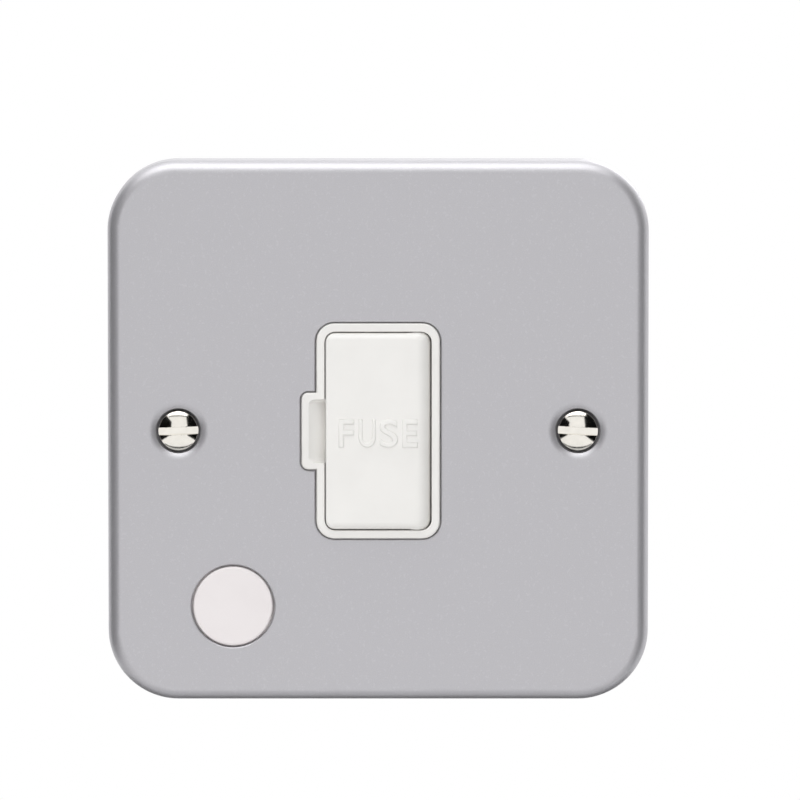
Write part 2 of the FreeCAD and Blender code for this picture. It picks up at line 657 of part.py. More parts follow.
def terminal_screws():
    made = []
    tip = BORE_Y + WIRE_BORE_R + CLAMP_TIP_GAP
    head = tip + CLAMP_LENGTH
    top = head + CLAMP_HEAD_HEIGHT
    for x, z in clamp_screw_places():
        shank = rod_y(CLAMP_R, x, z, tip, head)
        cap = rod_y(CLAMP_HEAD_R, x, z, head, top)
        slot = box(
            (x - CLAMP_HEAD_R - PAST, x + CLAMP_HEAD_R + PAST), (top - CLAMP_SLOT_DEPTH, top + PAST),
            (z - CLAMP_SLOT_WIDTH / 2, z + CLAMP_SLOT_WIDTH / 2),
        )
        made.append(joined([shank, cap]).cut(slot))
    return solids(made)


def terminal_base():
    base = base_outline(0.0, PART_LINE, BASE_LOW_BACK)
    pieces = [base]
    for side in (-1, 1):
        z_range = (side * TOWER_INNER_Z, side * BASE_HALF_HEIGHT)
        width = BASE_HALF_WIDTH - TOWER_INNER_X
        for x_side in (-1, 1):
            pieces.append(pad(
                width, BASE_HALF_HEIGHT - TOWER_INNER_Z, BASE_CORNER_R, PART_LINE, TOWER_BACK,
                x=x_side * (TOWER_INNER_X + width / 2), z=side * (TOWER_INNER_Z + BASE_HALF_HEIGHT) / 2,
            ))
        middle = (-TOWER_INNER_X - PAST, TOWER_INNER_X + PAST)
        pieces.append(box(middle, (BASE_LOW_BACK, CENTRE_BACK), z_range))
    pieces.append(box(
        (EARTH_BAY_INNER_X, EARTH_BAY_X), (PART_LINE, TOWER_BACK),
        (-EARTH_BAY_HALF_HEIGHT, EARTH_BAY_HALF_HEIGHT),
    ))
    base = joined(pieces)
    cuts = [base_outline(-TRAY_WALL, PART_LINE - PAST, BASE_FLOOR)]
    for x, side in MAIN_BLOCKS.values():
        cuts.append(main_block_box(x, side, SEAT_GAP))
        past_end = side * (BASE_HALF_HEIGHT + PAST)
        cuts.append(rod(WIRE_ENTRY_R, (x, BORE_Y, side * BLOCK_OUTER_Z), (x, BORE_Y, past_end)))
    for z in EARTH_BLOCKS.values():
        cuts.append(earth_block_box(z, SEAT_GAP))
        half = BLOCK_WIDTH / 2 + SEAT_GAP
        wire_way = (EARTH_OUTER_X, EARTH_BAY_X + PAST)
        cuts.append(box(wire_way, (BORE_Y - WIRE_ENTRY_R, TOWER_BACK + PAST), (z - half, z + half)))
    for x, z in clamp_screw_places():
        cuts.append(rod_y(CLAMP_HEAD_R + CLAMP_ACCESS_GAP, x, z, BLOCK_BACK, TOWER_BACK + PAST))
    for x, z in join_places():
        head_floor = BASE_FLOOR + JOIN_HEAD_FLOOR
        cuts.append(rod_y(JOIN_R + JOIN_HOLE_GAP, x, z, BASE_FLOOR - PAST, CENTRE_BACK + PAST))
        cuts.append(rod_y(JOIN_HEAD_R + JOIN_HOLE_GAP, x, z, head_floor, CENTRE_BACK + PAST))
    strap_slot = EARTH_STRAP_WIDTH / 2 + SEAT_GAP
    cuts.append(box(
        (EARTH_BAY_X - TRAY_WALL - PAST, EARTH_BAY_X + PAST), (PART_LINE - PAST, BASE_FLOOR),
        (-strap_slot, strap_slot),
    ))
    return base.cut(cuts)


def crossed_head_cut(x, z, top, head_r):
    """A cross recess in the back of a small pan head."""
    reach = head_r * 0.7
    depth = (top - CROSS_DEPTH, top + PAST)
    half = CROSS_WIDTH / 2
    across = box((x - reach, x + reach), depth, (z - half, z + half))
    upright = box((x - half, x + half), depth, (z - reach, z + reach))
    return across.fuse(upright)


def pan_screw(x, z, r, y_tip, y_seat, head_r, head_height):
    top = y_seat + head_height
    screw = joined([rod_y(r, x, z, y_tip, y_seat), rod_y(head_r, x, z, y_seat, top)])
    return screw.cut(crossed_head_cut(x, z, top, head_r))


def base_joining_screws():
    seat = BASE_FLOOR + JOIN_HEAD_FLOOR
    return solids([
        pan_screw(x, z, JOIN_R, BASE_FLOOR - JOIN_REACH, seat, JOIN_HEAD_R, JOIN_HEAD_HEIGHT)
        for x, z in join_places()
    ])


def neutral_link():
    end = BLOCK_INNER_Z + NEUTRAL_LINK_LAP
    across = (-LINK_INNER_X - NEUTRAL_LINK_WIDTH, -LINK_INNER_X)
    return box(across, (STRIP_FRONT, BASE_FLOOR), (-end, end))


def earth_strap():
    """One folded strip: foot under the earth stud's nut, riser, and a head under both blocks."""
    half = EARTH_STRAP_WIDTH / 2
    foot_end = EARTH_STUD_X + EARTH_FOOT_WIDTH / 2 - STRIP
    foot = box(
        (EARTH_RISER_X, foot_end), (FLANGE_BACK, FLANGE_BACK + STRIP),
        (-EARTH_FOOT_WIDTH / 2, EARTH_FOOT_WIDTH / 2),
    )
    riser = box((EARTH_RISER_X, EARTH_RISER_X + STRIP), (FLANGE_BACK, BASE_FLOOR), (-half, half))
    level = (STRIP_FRONT, BASE_FLOOR)
    arm = box((LINK_INNER_X, EARTH_RISER_X + STRIP), level, (-half, half))
    head_end = EARTH_BLOCK_Z + EARTH_HEAD_LAP
    head = box((LINK_INNER_X, LINK_INNER_X + EARTH_HEAD_WIDTH), level, (-head_end, head_end))
    hole = rod_y(STUD_R + STUD_HOLE_GAP, *EARTH_STUD, FLANGE_BACK - PAST, FLANGE_BACK + STRIP + PAST)
    return joined([foot, riser, arm, head]).cut(hole)


def stud_seats():
    """Each stud's place and the level that its washer rests on."""
    return [(place, FLANGE_BACK) for place in STUDS] + [(EARTH_STUD, FLANGE_BACK + STRIP)]


def plate_studs():
    places = STUDS + [EARTH_STUD]
    return solids([rod_y(STUD_R, x, z, PLATE_BACK, PLATE_BACK + STUD_LENGTH) for x, z in places])


def stud_washers():
    made = []
    for (x, z), seat in stud_seats():
        ring = rod_y(WASHER_R, x, z, seat, seat + WASHER_THICK)
        ring = ring.cut(rod_y(STUD_R + WASHER_BORE_GAP, x, z, seat - PAST, seat + WASHER_THICK + PAST))
        split = box(
            (x - WASHER_SPLIT / 2, x + WASHER_SPLIT / 2), (seat - PAST, seat + WASHER_THICK + PAST),
            (z, z + WASHER_R + PAST),
        )
        made.append(ring.cut(split))
    return solids(made)


def hex_nut(x, z, seat):
    corner_r = NUT_ACROSS_FLATS / math.sqrt(3)
    points = []
    for i in range(6):
        angle = math.radians(30 + 60 * i)
        points.append(FreeCAD.Vector(x + corner_r * math.cos(angle), seat, z + corner_r * math.sin(angle)))
    face = Part.Face(Part.makePolygon(points + points[:1]))
    nut = face.extrude(FreeCAD.Vector(0, NUT_HEIGHT, 0))
    return nut.cut(rod_y(STUD_R + NUT_THREAD_GAP, x, z, seat - PAST, seat + NUT_HEIGHT + PAST))


def stud_nuts():
    return solids([hex_nut(x, z, seat + WASHER_THICK) for (x, z), seat in stud_seats()])


def flex_outlet_blank():
    disc = rod_y(OUTLET_HOLE_R - BLANK_GAP, OUTLET_X, OUTLET_Z, PLATE_FRONT, PLATE_BACK)
    rim_back = PLATE_BACK + BLANK_FLANGE_THICK
    rim = rod_y(BLANK_FLANGE_R, OUTLET_X, OUTLET_Z, PLATE_BACK, rim_back)
    hollow = rod_y(BLANK_HOLLOW_R, OUTLET_X, OUTLET_Z, rim_back - BLANK_HOLLOW_DEPTH, rim_back + PAST)
    return joined([disc, rim]).cut(hollow)


def cord_grip_bar():
    seat = FLANGE_BACK + GRIP_POST_HEIGHT
    bar = pad(
        2 * (GRIP_HALF_SPAN + GRIP_POST_R), 2 * GRIP_BAR_HALF_WIDTH, GRIP_BAR_HALF_WIDTH,
        seat, seat + GRIP_BAR_THICK, x=GRIP_X, z=GRIP_Z,
    )
    inner = GRIP_HALF_SPAN - GRIP_POST_R - SEAT_GAP
    rib = box(
        (GRIP_X - inner, GRIP_X + inner), (seat - GRIP_RIB_HEIGHT, seat),
        (GRIP_Z - GRIP_RIB_WIDTH / 2, GRIP_Z + GRIP_RIB_WIDTH / 2),
    )
    bar = joined([bar, rib])
    for x, z in grip_places():
        bar = bar.cut(rod_y(GRIP_SCREW_R + GRIP_HOLE_GAP, x, z, seat - PAST, seat + GRIP_BAR_THICK + PAST))
    return bar


def cord_grip_screws():
    post_end = FLANGE_BACK + GRIP_POST_HEIGHT
    return solids([
        pan_screw(
            x, z, GRIP_SCREW_R, post_end - GRIP_SCREW_REACH, post_end + GRIP_BAR_THICK,
            GRIP_SCREW_HEAD_R, GRIP_SCREW_HEAD_HEIGHT,
        )
        for x, z in grip_places()
    ])


def main():
    os.makedirs("parts", exist_ok=True)
    save("front_plate", front_plate())
    save("fixing_screws", fixing_screws())
    save("screw_retaining_washers", screw_retaining_washers())
    save("front_moulding", front_moulding())
    save("fuse_carrier", fuse_carrier())
    save("fuse_barrel", fuse_core())
    save("fuse_end_caps", fuse_end_caps())
    save("supply_fuse_clip", fuse_clip(1))
    save("load_fuse_clip", fuse_clip(-1))
    save("terminal_base", terminal_base())
    for name, (x, side) in MAIN_BLOCKS.items():
        save(name, main_terminal(x, side))
    for name, z in EARTH_BLOCKS.items():
        save(name, earth_terminal(z))
    save("terminal_screws", terminal_screws())
    save("neutral_link", neutral_link())
    save("earth_strap", earth_strap())
    save("plate_studs", plate_studs())
    save("stud_washers", stud_washers())
    save("stud_nuts", stud_nuts())
    save("base_joining_screws", base_joining_screws())
    save("flex_outlet_blank", flex_outlet_blank())
    save("cord_grip_bar", cord_grip_bar())
    save("cord_grip_screws", cord_grip_screws())


main()
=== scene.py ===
import math

import bpy
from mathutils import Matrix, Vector


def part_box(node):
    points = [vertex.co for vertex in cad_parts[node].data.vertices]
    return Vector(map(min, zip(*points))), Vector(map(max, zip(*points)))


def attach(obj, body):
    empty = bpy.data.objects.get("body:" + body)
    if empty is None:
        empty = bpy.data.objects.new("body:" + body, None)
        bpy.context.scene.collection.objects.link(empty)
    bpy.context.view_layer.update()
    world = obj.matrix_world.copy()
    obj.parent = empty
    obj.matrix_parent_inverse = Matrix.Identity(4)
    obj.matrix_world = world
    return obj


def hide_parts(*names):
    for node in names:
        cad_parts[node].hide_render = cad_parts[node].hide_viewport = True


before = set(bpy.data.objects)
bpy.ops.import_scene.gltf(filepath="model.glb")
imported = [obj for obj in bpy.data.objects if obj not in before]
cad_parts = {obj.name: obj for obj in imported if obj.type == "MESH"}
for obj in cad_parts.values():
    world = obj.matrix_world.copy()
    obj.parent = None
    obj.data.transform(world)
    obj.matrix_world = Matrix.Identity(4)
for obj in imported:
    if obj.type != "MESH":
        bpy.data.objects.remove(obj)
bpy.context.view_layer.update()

# A metal-clad fused connection unit. Lengths are in millimetres and become metres only where
# a primitive, a bevel or a modifier takes them. X is to the right, Z is up, the front faces -Y.
MM = 0.001

# Plate pressing
SHEET = 1.2
REAR_EDGE_R = 0.15
PIERCED_EDGE_R = 0.25
PLATE_CORNER_R = 10.6
PLATE_BEND_R = 2.0
APERTURE_GAP = 0.15
DIMPLE_MOUTH_R = 4.0
DIMPLE_LIP_START_R = 4.65
DIMPLE_LIP_R = 2.0
DIMPLE_EASE_DEGREES = 3.0
DIMPLE_EASE_REACH = 0.2
DIMPLE_CUP_R = 3.4
DIMPLE_CUP_DEPTH = 1.25
DIMPLE_BACK_END = 2.75
SCREW_HOLE_R = 2.1
OUTLET_HOLE_R = 6.25

# Fixing screw
HEAD_R = 3.4
HEAD_SUNK = 0.8
HEAD_RIM = 0.1
HEAD_DOME = 1.0
HEAD_SLOT = 1.1
HEAD_SLOT_DEPTH = 1.3
HEAD_DOME_END_R = 2.88
HEAD_SHOULDER_R = 0.2
HEAD_SEAT_R = 3.02
HEAD_SEAT_DEPTH = 1.1
NECK_R = 1.4
THREAD_R = 1.75
THREAD_DEPTH = 0.37
THREAD_PITCH = 0.6
THREAD_FORM = ((0.0, 1.0), (0.12, 1.0), (0.5, 0.0), (0.62, 0.0))
NECK_PAST_RETAINER = 0.1
THREAD_PAST_RETAINER = 0.05
TIP_LENGTH = 0.7
TIP_R = 1.1
TIP_END_R = 0.9
TIP_END_LENGTH = 0.1
SLOT_BREAK = 0.06
SLOT_FLOOR_BAND = 0.2

# White frame and its notch
FRAME_WIDTH = 18.6
FRAME_HEIGHT = 32.5
FRAME_CORNER_R = 2.7
FRAME_EDGE_R = 0.28
FRAME_RIM = 1.25
LUG_REACH = 2.25
LUG_HEIGHT = 11.6
LUG_CORNER_R = 1.0
OPENING_CORNER_R = 1.6
OPENING_EDGE_R = 0.15
NOTCH_REACH = 1.15
NOTCH_LOW = -5.12
NOTCH_HIGH = 4.88
NOTCH_SHALLOW = 0.03
NOTCH_DEEP = 2.45
NOTCH_ROUND = 0.6
NOTCH_SHELF = 0.9
NOTCH_FOOT = 0.55
NOTCH_HEAD = 0.15
SHELF_ROOT = 0.3
SHELF_SHORT = 0.05
SHELF_UNDER = 0.5
SHELF_FOOT = 0.2
SHELF_HEAD = 0.1
MOULDING_BREAK = 0.15
SEAM_LAP = 0.05

# Fuse carrier
CARRIER_THICK = 2.6
CARRIER_CORNER_R = 1.45
CARRIER_END_R = 1.1
CARRIER_LEFT_R = 0.3
HINGE_EDGE_R = 2.2
HINGE_BARREL_R = 1.5
HINGE_PIN_R = 0.95
HINGE_PIN_REACH = 0.8
HINGE_GAP = 0.05
HINGE_END_GAP = 0.15
CARRIER_END_GAP = 0.2
CRADLE_HALF_LENGTH = 5.0
CRADLE_WALL = 1.2
CRADLE_WRAP = 1.6
CRADLE_ROOT = 0.5
CRADLE_GAP = 0.05
CHEEK_GAP = 0.15
CHEEK_THICK = 1.8

# Raised letters. The core, slope and thinning are shares of the letter's own size.
LETTER_PROUD = 0.2
LETTER_CORE = 0.002
LETTER_SLOPE = 0.036
LETTER_THINNED = -0.014
WORD_Z = (-2.4, 1.85)
WORD_LETTERS = (("F", -5.95, -3.6), ("U", -2.95, -0.35), ("S", 0.2, 3.0), ("E", 3.6, 5.98))

# Marks on the terminal housing: each text, its span across and its span up
TOWER_OVER_FLOOR = 11.0
TOWER_X = 12.0
FLOOR_MARKS = (("SUPPLY", (-4.0, 6.0), (12.4, 14.6)), ("LOAD", (-2.2, 4.2), (-14.6, -12.4)))
POLE_MARKS = ((-1, "L"), (1, "N"))
POLE_MARK_LOW = (17.9, -20.1)
POLE_MARK_HALF = 0.8
POLE_MARK_HEIGHT = 2.2
EARTH_MARK_X = 12.9
EARTH_LINE_HALF = 0.15
EARTH_STEM_Z = (0.1, 1.5)
EARTH_BARS = ((0.1, 1.5), (-0.6, 1.0), (-1.3, 0.5))

# Fuse
FUSE_X = -2.0
CAP_LENGTH = 6.0
CAP_EDGE_R = 0.45
CAP_WALL = 0.45
CAP_MOUTH_BREAK = 0.08
CRIMP_FROM_MOUTH = 0.9
CRIMP_HALF = 0.25
CRIMP_DEPTH = 0.12
BARREL_R = 2.95
BARREL_END_GAP = 0.5

# Flex outlet blank
BLANK_GAP = 0.25
BLANK_FACE_R = 0.35
BLANK_FLANGE_R = 0.15
BLANK_BACK_R = 0.2
BLANK_HOLLOW_R = 4.2
BLANK_HOLLOW_DEPTH = 1.2
BLANK_HOLLOW_BREAK = 0.1

# How far cutters reach past what they cut, what keeps two faces out of one plane, what counts
# as the same place, and the steps of a full turn
PAST = 1.0
SLIVER = 0.01
SAME = 1e-3
FINE_STEPS = 96


def box_mm(node):
    """The lowest and highest value of a node on each axis."""
    low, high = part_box(node)
    return [(a / MM, b / MM) for a, b in zip(low, high)]


PLATE = box_mm("front_plate")
CARRIER = box_mm("fuse_carrier")
MOULDING = box_mm("front_moulding")
SCREWS = box_mm("fixing_screws")
BLANK = box_mm("flex_outlet_blank")
FUSE = box_mm("fuse_end_caps")
RETAINERS = box_mm("screw_retaining_washers")
BASE = box_mm("terminal_base")

PLATE_HALF = PLATE[0][1]
PLATE_FRONT = PLATE[1][0]
PLATE_BACK = PLATE_FRONT + SHEET
SEAM_Y = PLATE_BACK - SEAM_LAP
FRAME_FRONT = MOULDING[1][0]
CARRIER_TOP = CARRIER[1][0]
CARRIER_FACE = CARRIER_TOP + LETTER_PROUD
CARRIER_BACK = CARRIER_TOP + CARRIER_THICK
CARRIER_HALF_W = CARRIER[0][1]
CARRIER_HALF_H = CARRIER[2][1] - HINGE_PIN_REACH - CARRIER_END_GAP
HINGE_X = CARRIER_HALF_W - HINGE_EDGE_R
HINGE_Y = CARRIER_TOP + HINGE_EDGE_R
FUSE_Y = (FUSE[1][0] + FUSE[1][1]) / 2
CAP_R = (FUSE[0][1] - FUSE[0][0]) / 2
FUSE_HALF = FUSE[2][1]
FIXING_X = SCREWS[0][1] - HEAD_R
OUTLET = ((BLANK[0][0] + BLANK[0][1]) / 2, (BLANK[2][0] + BLANK[2][1]) / 2)

TURNED = {"X": (0.0, math.pi / 2, 0.0), "Y": (math.pi / 2, 0.0, 0.0), "Z": (0.0, 0.0, 0.0)}


def let_go():
    """Nothing selected, so that the next primitive is alone."""
    bpy.ops.object.select_all(action="DESELECT")


def take(piece):
    """Make one piece the selected and active one."""
    let_go()
    piece.select_set(True)
    bpy.context.view_layer.objects.active = piece


def around(middle, half):
    """A span about a middle."""
    return (middle - half, middle + half)


def settled(name):
    """The primitive just added, named, with its place put into its mesh."""
    bpy.ops.object.transform_apply(location=True, rotation=True, scale=True)
    piece = bpy.context.object
    piece.name = name
    piece.data.name = name
    return piece


def block(name, x, y, z, turn=0.0):
    """A block between two values on each axis, turned about Y by some degrees."""
    let_go()
    middle = [(a + b) / 2 * MM for a, b in (x, y, z)]
    bpy.ops.mesh.primitive_cube_add(size=1.0, location=middle, rotation=(0.0, math.radians(turn), 0.0))
    bpy.context.object.scale = [abs(b - a) * MM for a, b in (x, y, z)]
    return settled(name)


def drum(name, radius, axis, start, end, sides=72):
    """A round bar along one axis, from one point to another."""
    let_go()
    middle = [(a + b) / 2 * MM for a, b in zip(start, end)]
    bpy.ops.mesh.primitive_cylinder_add(
        vertices=sides, radius=radius * MM, depth=math.dist(start, end) * MM,
        location=middle, rotation=TURNED[axis],
    )
    return settled(name)


def turned(name, profile, x, z, steps=64):
    """A lathe-turned piece about an axis along Y. The profile is (radius, y) from front to back."""
    let_go()
    bpy.ops.mesh.primitive_plane_add(size=MM, location=(0.0, 0.0, 0.0))
    bpy.context.tool_settings.mesh_select_mode = (True, False, False)
    bpy.ops.object.mode_set(mode="EDIT")
    bpy.ops.mesh.merge(type="CENTER")
    here = Vector((0.0, 0.0, 0.0))
    for i, (radius, y) in enumerate(profile):
        there = Vector(((x + radius) * MM, y * MM, z * MM))
        if i == 0:
            bpy.ops.transform.translate(value=there - here)
        else:
            bpy.ops.mesh.extrude_region_move(TRANSFORM_OT_translate={"value": there - here})
        here = there
    bpy.ops.mesh.select_all(action="SELECT")
    bpy.ops.mesh.spin(
        steps=steps, angle=2 * math.pi, center=(x * MM, 0.0, z * MM), axis=(0.0, 1.0, 0.0),
    )
    bpy.ops.mesh.select_all(action="SELECT")
    bpy.ops.mesh.remove_doubles(threshold=0.002 * MM)
    bpy.ops.mesh.delete_loose()
    bpy.ops.mesh.select_all(action="SELECT")
    bpy.ops.mesh.normals_make_consistent(inside=False)
    bpy.ops.object.mode_set(mode="OBJECT")
    return settled(name)


def arc(centre_r, centre_y, radius, start, end, steps):
    """Points of a round in a turned profile, with angles in degrees from the +radius direction."""
    points = []
    for i in range(steps + 1):
        angle = math.radians(start + (end - start) * i / steps)
        points.append((centre_r + radius * math.cos(angle), centre_y + radius * math.sin(angle)))
    return points


def select_edges(piece, chosen):
    """Select the edges whose two ends, in millimetres, pass the test."""
    take(piece)
    bpy.context.tool_settings.mesh_select_mode = (False, True, False)
    bpy.ops.object.mode_set(mode="EDIT")
    bpy.ops.mesh.select_all(action="DESELECT")
    bpy.ops.object.mode_set(mode="OBJECT")
    vertices = piece.data.vertices
    for edge in piece.data.edges:
        a, b = (vertices[i].co / MM for i in edge.vertices)
        edge.select = chosen(a, b)
    bpy.ops.object.mode_set(mode="EDIT")


def round_edges(piece, chosen, radius, segments):
    """Roll the edges that pass the test."""
    select_edges(piece, chosen)
    bpy.ops.mesh.bevel(offset=radius * MM, segments=segments, affect="EDGES")
    bpy.ops.object.mode_set(mode="OBJECT")
    return piece


def along_y(a, b):
    """Whether an edge runs from front to back."""
    return abs((b - a).y) > 0.9 * (b - a).length


def level_at(y):
    """A test for edges that lie in one plane of the plate."""
    return lambda a, b: abs(a.y - y) < SAME and abs(b.y - y) < SAME


def rounded_block(name, x, y, z, corner_r, segments=12):
    """A block with round corners, seen from the front."""
    return round_edges(block(name, x, y, z), along_y, corner_r, segments)


def combine(piece, other, how):
    """One boolean step, which uses the other shape up."""
    take(piece)
    modifier = piece.modifiers.new("combine", "BOOLEAN")
    modifier.operation = how
    modifier.solver = "EXACT"
    modifier.object = other
    bpy.ops.object.modifier_apply(modifier=modifier.name)
    bpy.data.objects.remove(other, do_unlink=True)


def add(piece, *others):
    """Fuse other shapes into one moulding or forging."""
    for other in others:
        combine(piece, other, "UNION")
    return piece


def cut(piece, *others):
    """Take other shapes out of a piece."""
    for other in others:
        combine(piece, other, "DIFFERENCE")
    return piece


def flats_merged(piece):
    """Faces that lie in one plane become one face."""
    take(piece)
    bpy.ops.object.mode_set(mode="EDIT")
    bpy.ops.mesh.select_all(action="SELECT")
    bpy.ops.mesh.dissolve_limited(angle_limit=math.radians(0.2))
    bpy.ops.object.mode_set(mode="OBJECT")
    return piece


def broken_edges(piece, width, angle=35.0):
    """Break every sharp edge by a small bevel."""
    take(piece)
    modifier = piece.modifiers.new("edges", "BEVEL")
    modifier.width = width * MM
    modifier.segments = 2
    modifier.limit_method = "ANGLE"
    modifier.angle_limit = math.radians(angle)
    modifier.miter_outer = "MITER_ARC"
    bpy.ops.object.modifier_apply(modifier=modifier.name)
    return piece


def smoothed(piece, angle=32.0):
    """Smooth shading that keeps flat faces flat and sharp edges sharp."""
    take(piece)
    bpy.ops.object.shade_smooth_by_angle(angle=math.radians(angle))
    modifier = piece.modifiers.new("normals", "WEIGHTED_NORMAL")
    modifier.keep_sharp = True
    bpy.ops.object.modifier_apply(modifier=modifier.name)
    return piece


def frame_outline(name, grow, y_front, y_back):
    """The white frame with its lug, seen from the front, as a block."""
    half_w = FRAME_WIDTH / 2 + grow
    half_h = FRAME_HEIGHT / 2 + grow
    half_lug = LUG_HEIGHT / 2 + grow
    y = (y_front, y_back)
    frame_shape = rounded_block(name, (-half_w, half_w), y, (-half_h, half_h), FRAME_CORNER_R + grow)
    lug = rounded_block(
        "lug", (-half_w - LUG_REACH, 0.0), y, (-half_lug, half_lug), LUG_CORNER_R + grow, segments=8,
    )
    return flats_merged(add(frame_shape, lug))


def pan(name, half, corner_r, bend_r, y_front, y_back):
    """A square pressing with a rolled front edge, as a solid."""
    made = rounded_block(name, (-half, half), (y_front, y_back), (-half, half), corner_r, segments=24)
    return round_edges(made, level_at(y_front), bend_r, 10)


def dimple_cutter(x):
    """The screw seat with the soft lip that pressing leaves round it."""
    lip_end = 270.0 - math.degrees(math.asin((DIMPLE_LIP_START_R - DIMPLE_CUP_R) / DIMPLE_LIP_R))
    lip_start = 270.0 - DIMPLE_EASE_DEGREES
    lip = arc(DIMPLE_LIP_START_R, PLATE_FRONT + DIMPLE_LIP_R, DIMPLE_LIP_R, lip_start, lip_end, 10)
    first_r, first_y = lip[0]
    slope = math.tan(math.radians(DIMPLE_EASE_DEGREES))
    start = (first_r + DIMPLE_EASE_REACH, first_y - DIMPLE_EASE_REACH * slope)
    cup_y = PLATE_FRONT + DIMPLE_CUP_DEPTH
    hole_y = cup_y + DIMPLE_CUP_R - SCREW_HOLE_R
    profile = [(0.0, PLATE_FRONT - PAST), (start[0], PLATE_FRONT - PAST), start] + lip
    profile += [(DIMPLE_CUP_R, cup_y), (SCREW_HOLE_R, hole_y), (SCREW_HOLE_R, hole_y + PAST)]
    profile.append((0.0, hole_y + PAST))
    return turned("dimple", profile, x, 0.0, steps=FINE_STEPS)


def dimple_boss(x):
    """The back of a pressed dimple, standing behind the sheet."""
    back_r = DIMPLE_MOUTH_R - SHEET + SHEET * math.sqrt(2)
    end = PLATE_FRONT + DIMPLE_BACK_END
    end_r = back_r - (end - PLATE_BACK)
    inside = PLATE_BACK - SHEET / 2
    profile = [(0.0, inside), (back_r + SHEET / 2, inside), (end_r, end), (0.0, end)]
    return turned("boss", profile, x, 0.0, steps=FINE_STEPS)


def pierced_edge(a, b):
    """The front edges of the aperture and of the outlet hole."""
    inside = PLATE_HALF - PLATE_BEND_R - PAST
    ends = (a, b)
    return all(abs(p.y - PLATE_FRONT) < SAME and max(abs(p.x), abs(p.z)) < inside for p in ends)


def plate_pressing():
    """The pressed plate: rolled edge, skirt, aperture, outlet hole and two dimples."""
    plate = pan("plate_pressing", PLATE_HALF, PLATE_CORNER_R, PLATE_BEND_R, PLATE_FRONT, 0.0)
    inner = pan("inner", PLATE_HALF - SHEET, PLATE_CORNER_R - SHEET, PLATE_BEND_R - SHEET, PLATE_BACK, PAST)
    cut(plate, inner)
    round_edges(plate, level_at(0.0), REAR_EDGE_R, 2)
    through = (PLATE_FRONT - PAST, PLATE_BACK + PAST)
    aperture = frame_outline("aperture", APERTURE_GAP, *through)
    x, z = OUTLET
    outlet = drum("outlet", OUTLET_HOLE_R, "Y", (x, through[0], z), (x, through[1], z), sides=FINE_STEPS)
    cut(plate, aperture, outlet)
    round_edges(plate, pierced_edge, PIERCED_EDGE_R, 4)
    flats_merged(add(plate, dimple_boss(-FIXING_X), dimple_boss(FIXING_X)))
    cut(plate, dimple_cutter(-FIXING_X), dimple_cutter(FIXING_X))
    return smoothed(plate)


def notch_cutter():
    """The lifting notch: a wedge with a soft floor that deepens towards the carrier."""
    outer = -FRAME_WIDTH / 2 - NOTCH_REACH
    edge = -FRAME_WIDTH / 2 + FRAME_RIM
    wedge = block(
        "notch", (outer, edge + NOTCH_SHELF), (FRAME_FRONT - PAST, FRAME_FRONT + NOTCH_SHALLOW),
        (NOTCH_LOW, NOTCH_HIGH),
    )
    for vertex in wedge.data.vertices:
        if vertex.co.x / MM > edge and vertex.co.y / MM > FRAME_FRONT:
            vertex.co.y = (FRAME_FRONT + NOTCH_DEEP) * MM
        if vertex.co.y / MM > FRAME_FRONT:
            vertex.co.z += (NOTCH_FOOT if vertex.co.z < 0 else -NOTCH_HEAD) * MM
    floor = FRAME_FRONT + NOTCH_SHALLOW - SLIVER
    round_edges(wedge, lambda a, b: min(a.y, b.y) > floor and abs((b - a).x) > 1.0, NOTCH_ROUND, 5)
    take(wedge)
    bpy.ops.object.mode_set(mode="EDIT")
    bpy.ops.mesh.select_all(action="SELECT")
    bpy.ops.mesh.quads_convert_to_tris()
    bpy.ops.object.mode_set(mode="OBJECT")
    return wedge


def opening_edge(a, b):
    """The frame's inner front edge, round the carrier."""
    half_w = FRAME_WIDTH / 2 - FRAME_RIM / 2
    half_h = FRAME_HEIGHT / 2 - FRAME_RIM / 2
    ends = (a, b)
    return all(abs(p.y - FRAME_FRONT) < SAME and abs(p.x) < half_w and abs(p.z) < half_h for p in ends)


def face_moulding():
    """The white frame round the carrier, down to the flange behind the plate."""
    frame_shape = frame_outline("face_moulding", 0.0, FRAME_FRONT, SEAM_Y)
    round_edges(frame_shape, level_at(FRAME_FRONT), FRAME_EDGE_R, 4)
    half_w = FRAME_WIDTH / 2 - FRAME_RIM
    half_h = FRAME_HEIGHT / 2 - FRAME_RIM
    opening = rounded_block(
        "opening", (-half_w, half_w), (FRAME_FRONT - PAST, 0.0), (-half_h, half_h), OPENING_CORNER_R,
    )
    cut(frame_shape, opening)
    round_edges(frame_shape, opening_edge, OPENING_EDGE_R, 3)
    cut(frame_shape, notch_cutter())
    hinge = drum(
        "hinge_hole", HINGE_PIN_R + HINGE_GAP, "Z",
        (HINGE_X, HINGE_Y, -half_h - HINGE_PIN_REACH - HINGE_END_GAP),
        (HINGE_X, HINGE_Y, half_h + HINGE_PIN_REACH + HINGE_END_GAP), sides=40,
    )
    cut(frame_shape, hinge)
    return smoothed(frame_shape)


def slab_edge_radius(a, b):
    """How far each edge of the carrier's face is rolled."""
    if along_y(a, b):
        return CARRIER_CORNER_R
    if max(a.y, b.y) > CARRIER_FACE + SAME:
        return 0.0
    if abs((b - a).x) > 1.0:
        return CARRIER_END_R
    return HINGE_EDGE_R if a.x > 0 else CARRIER_LEFT_R


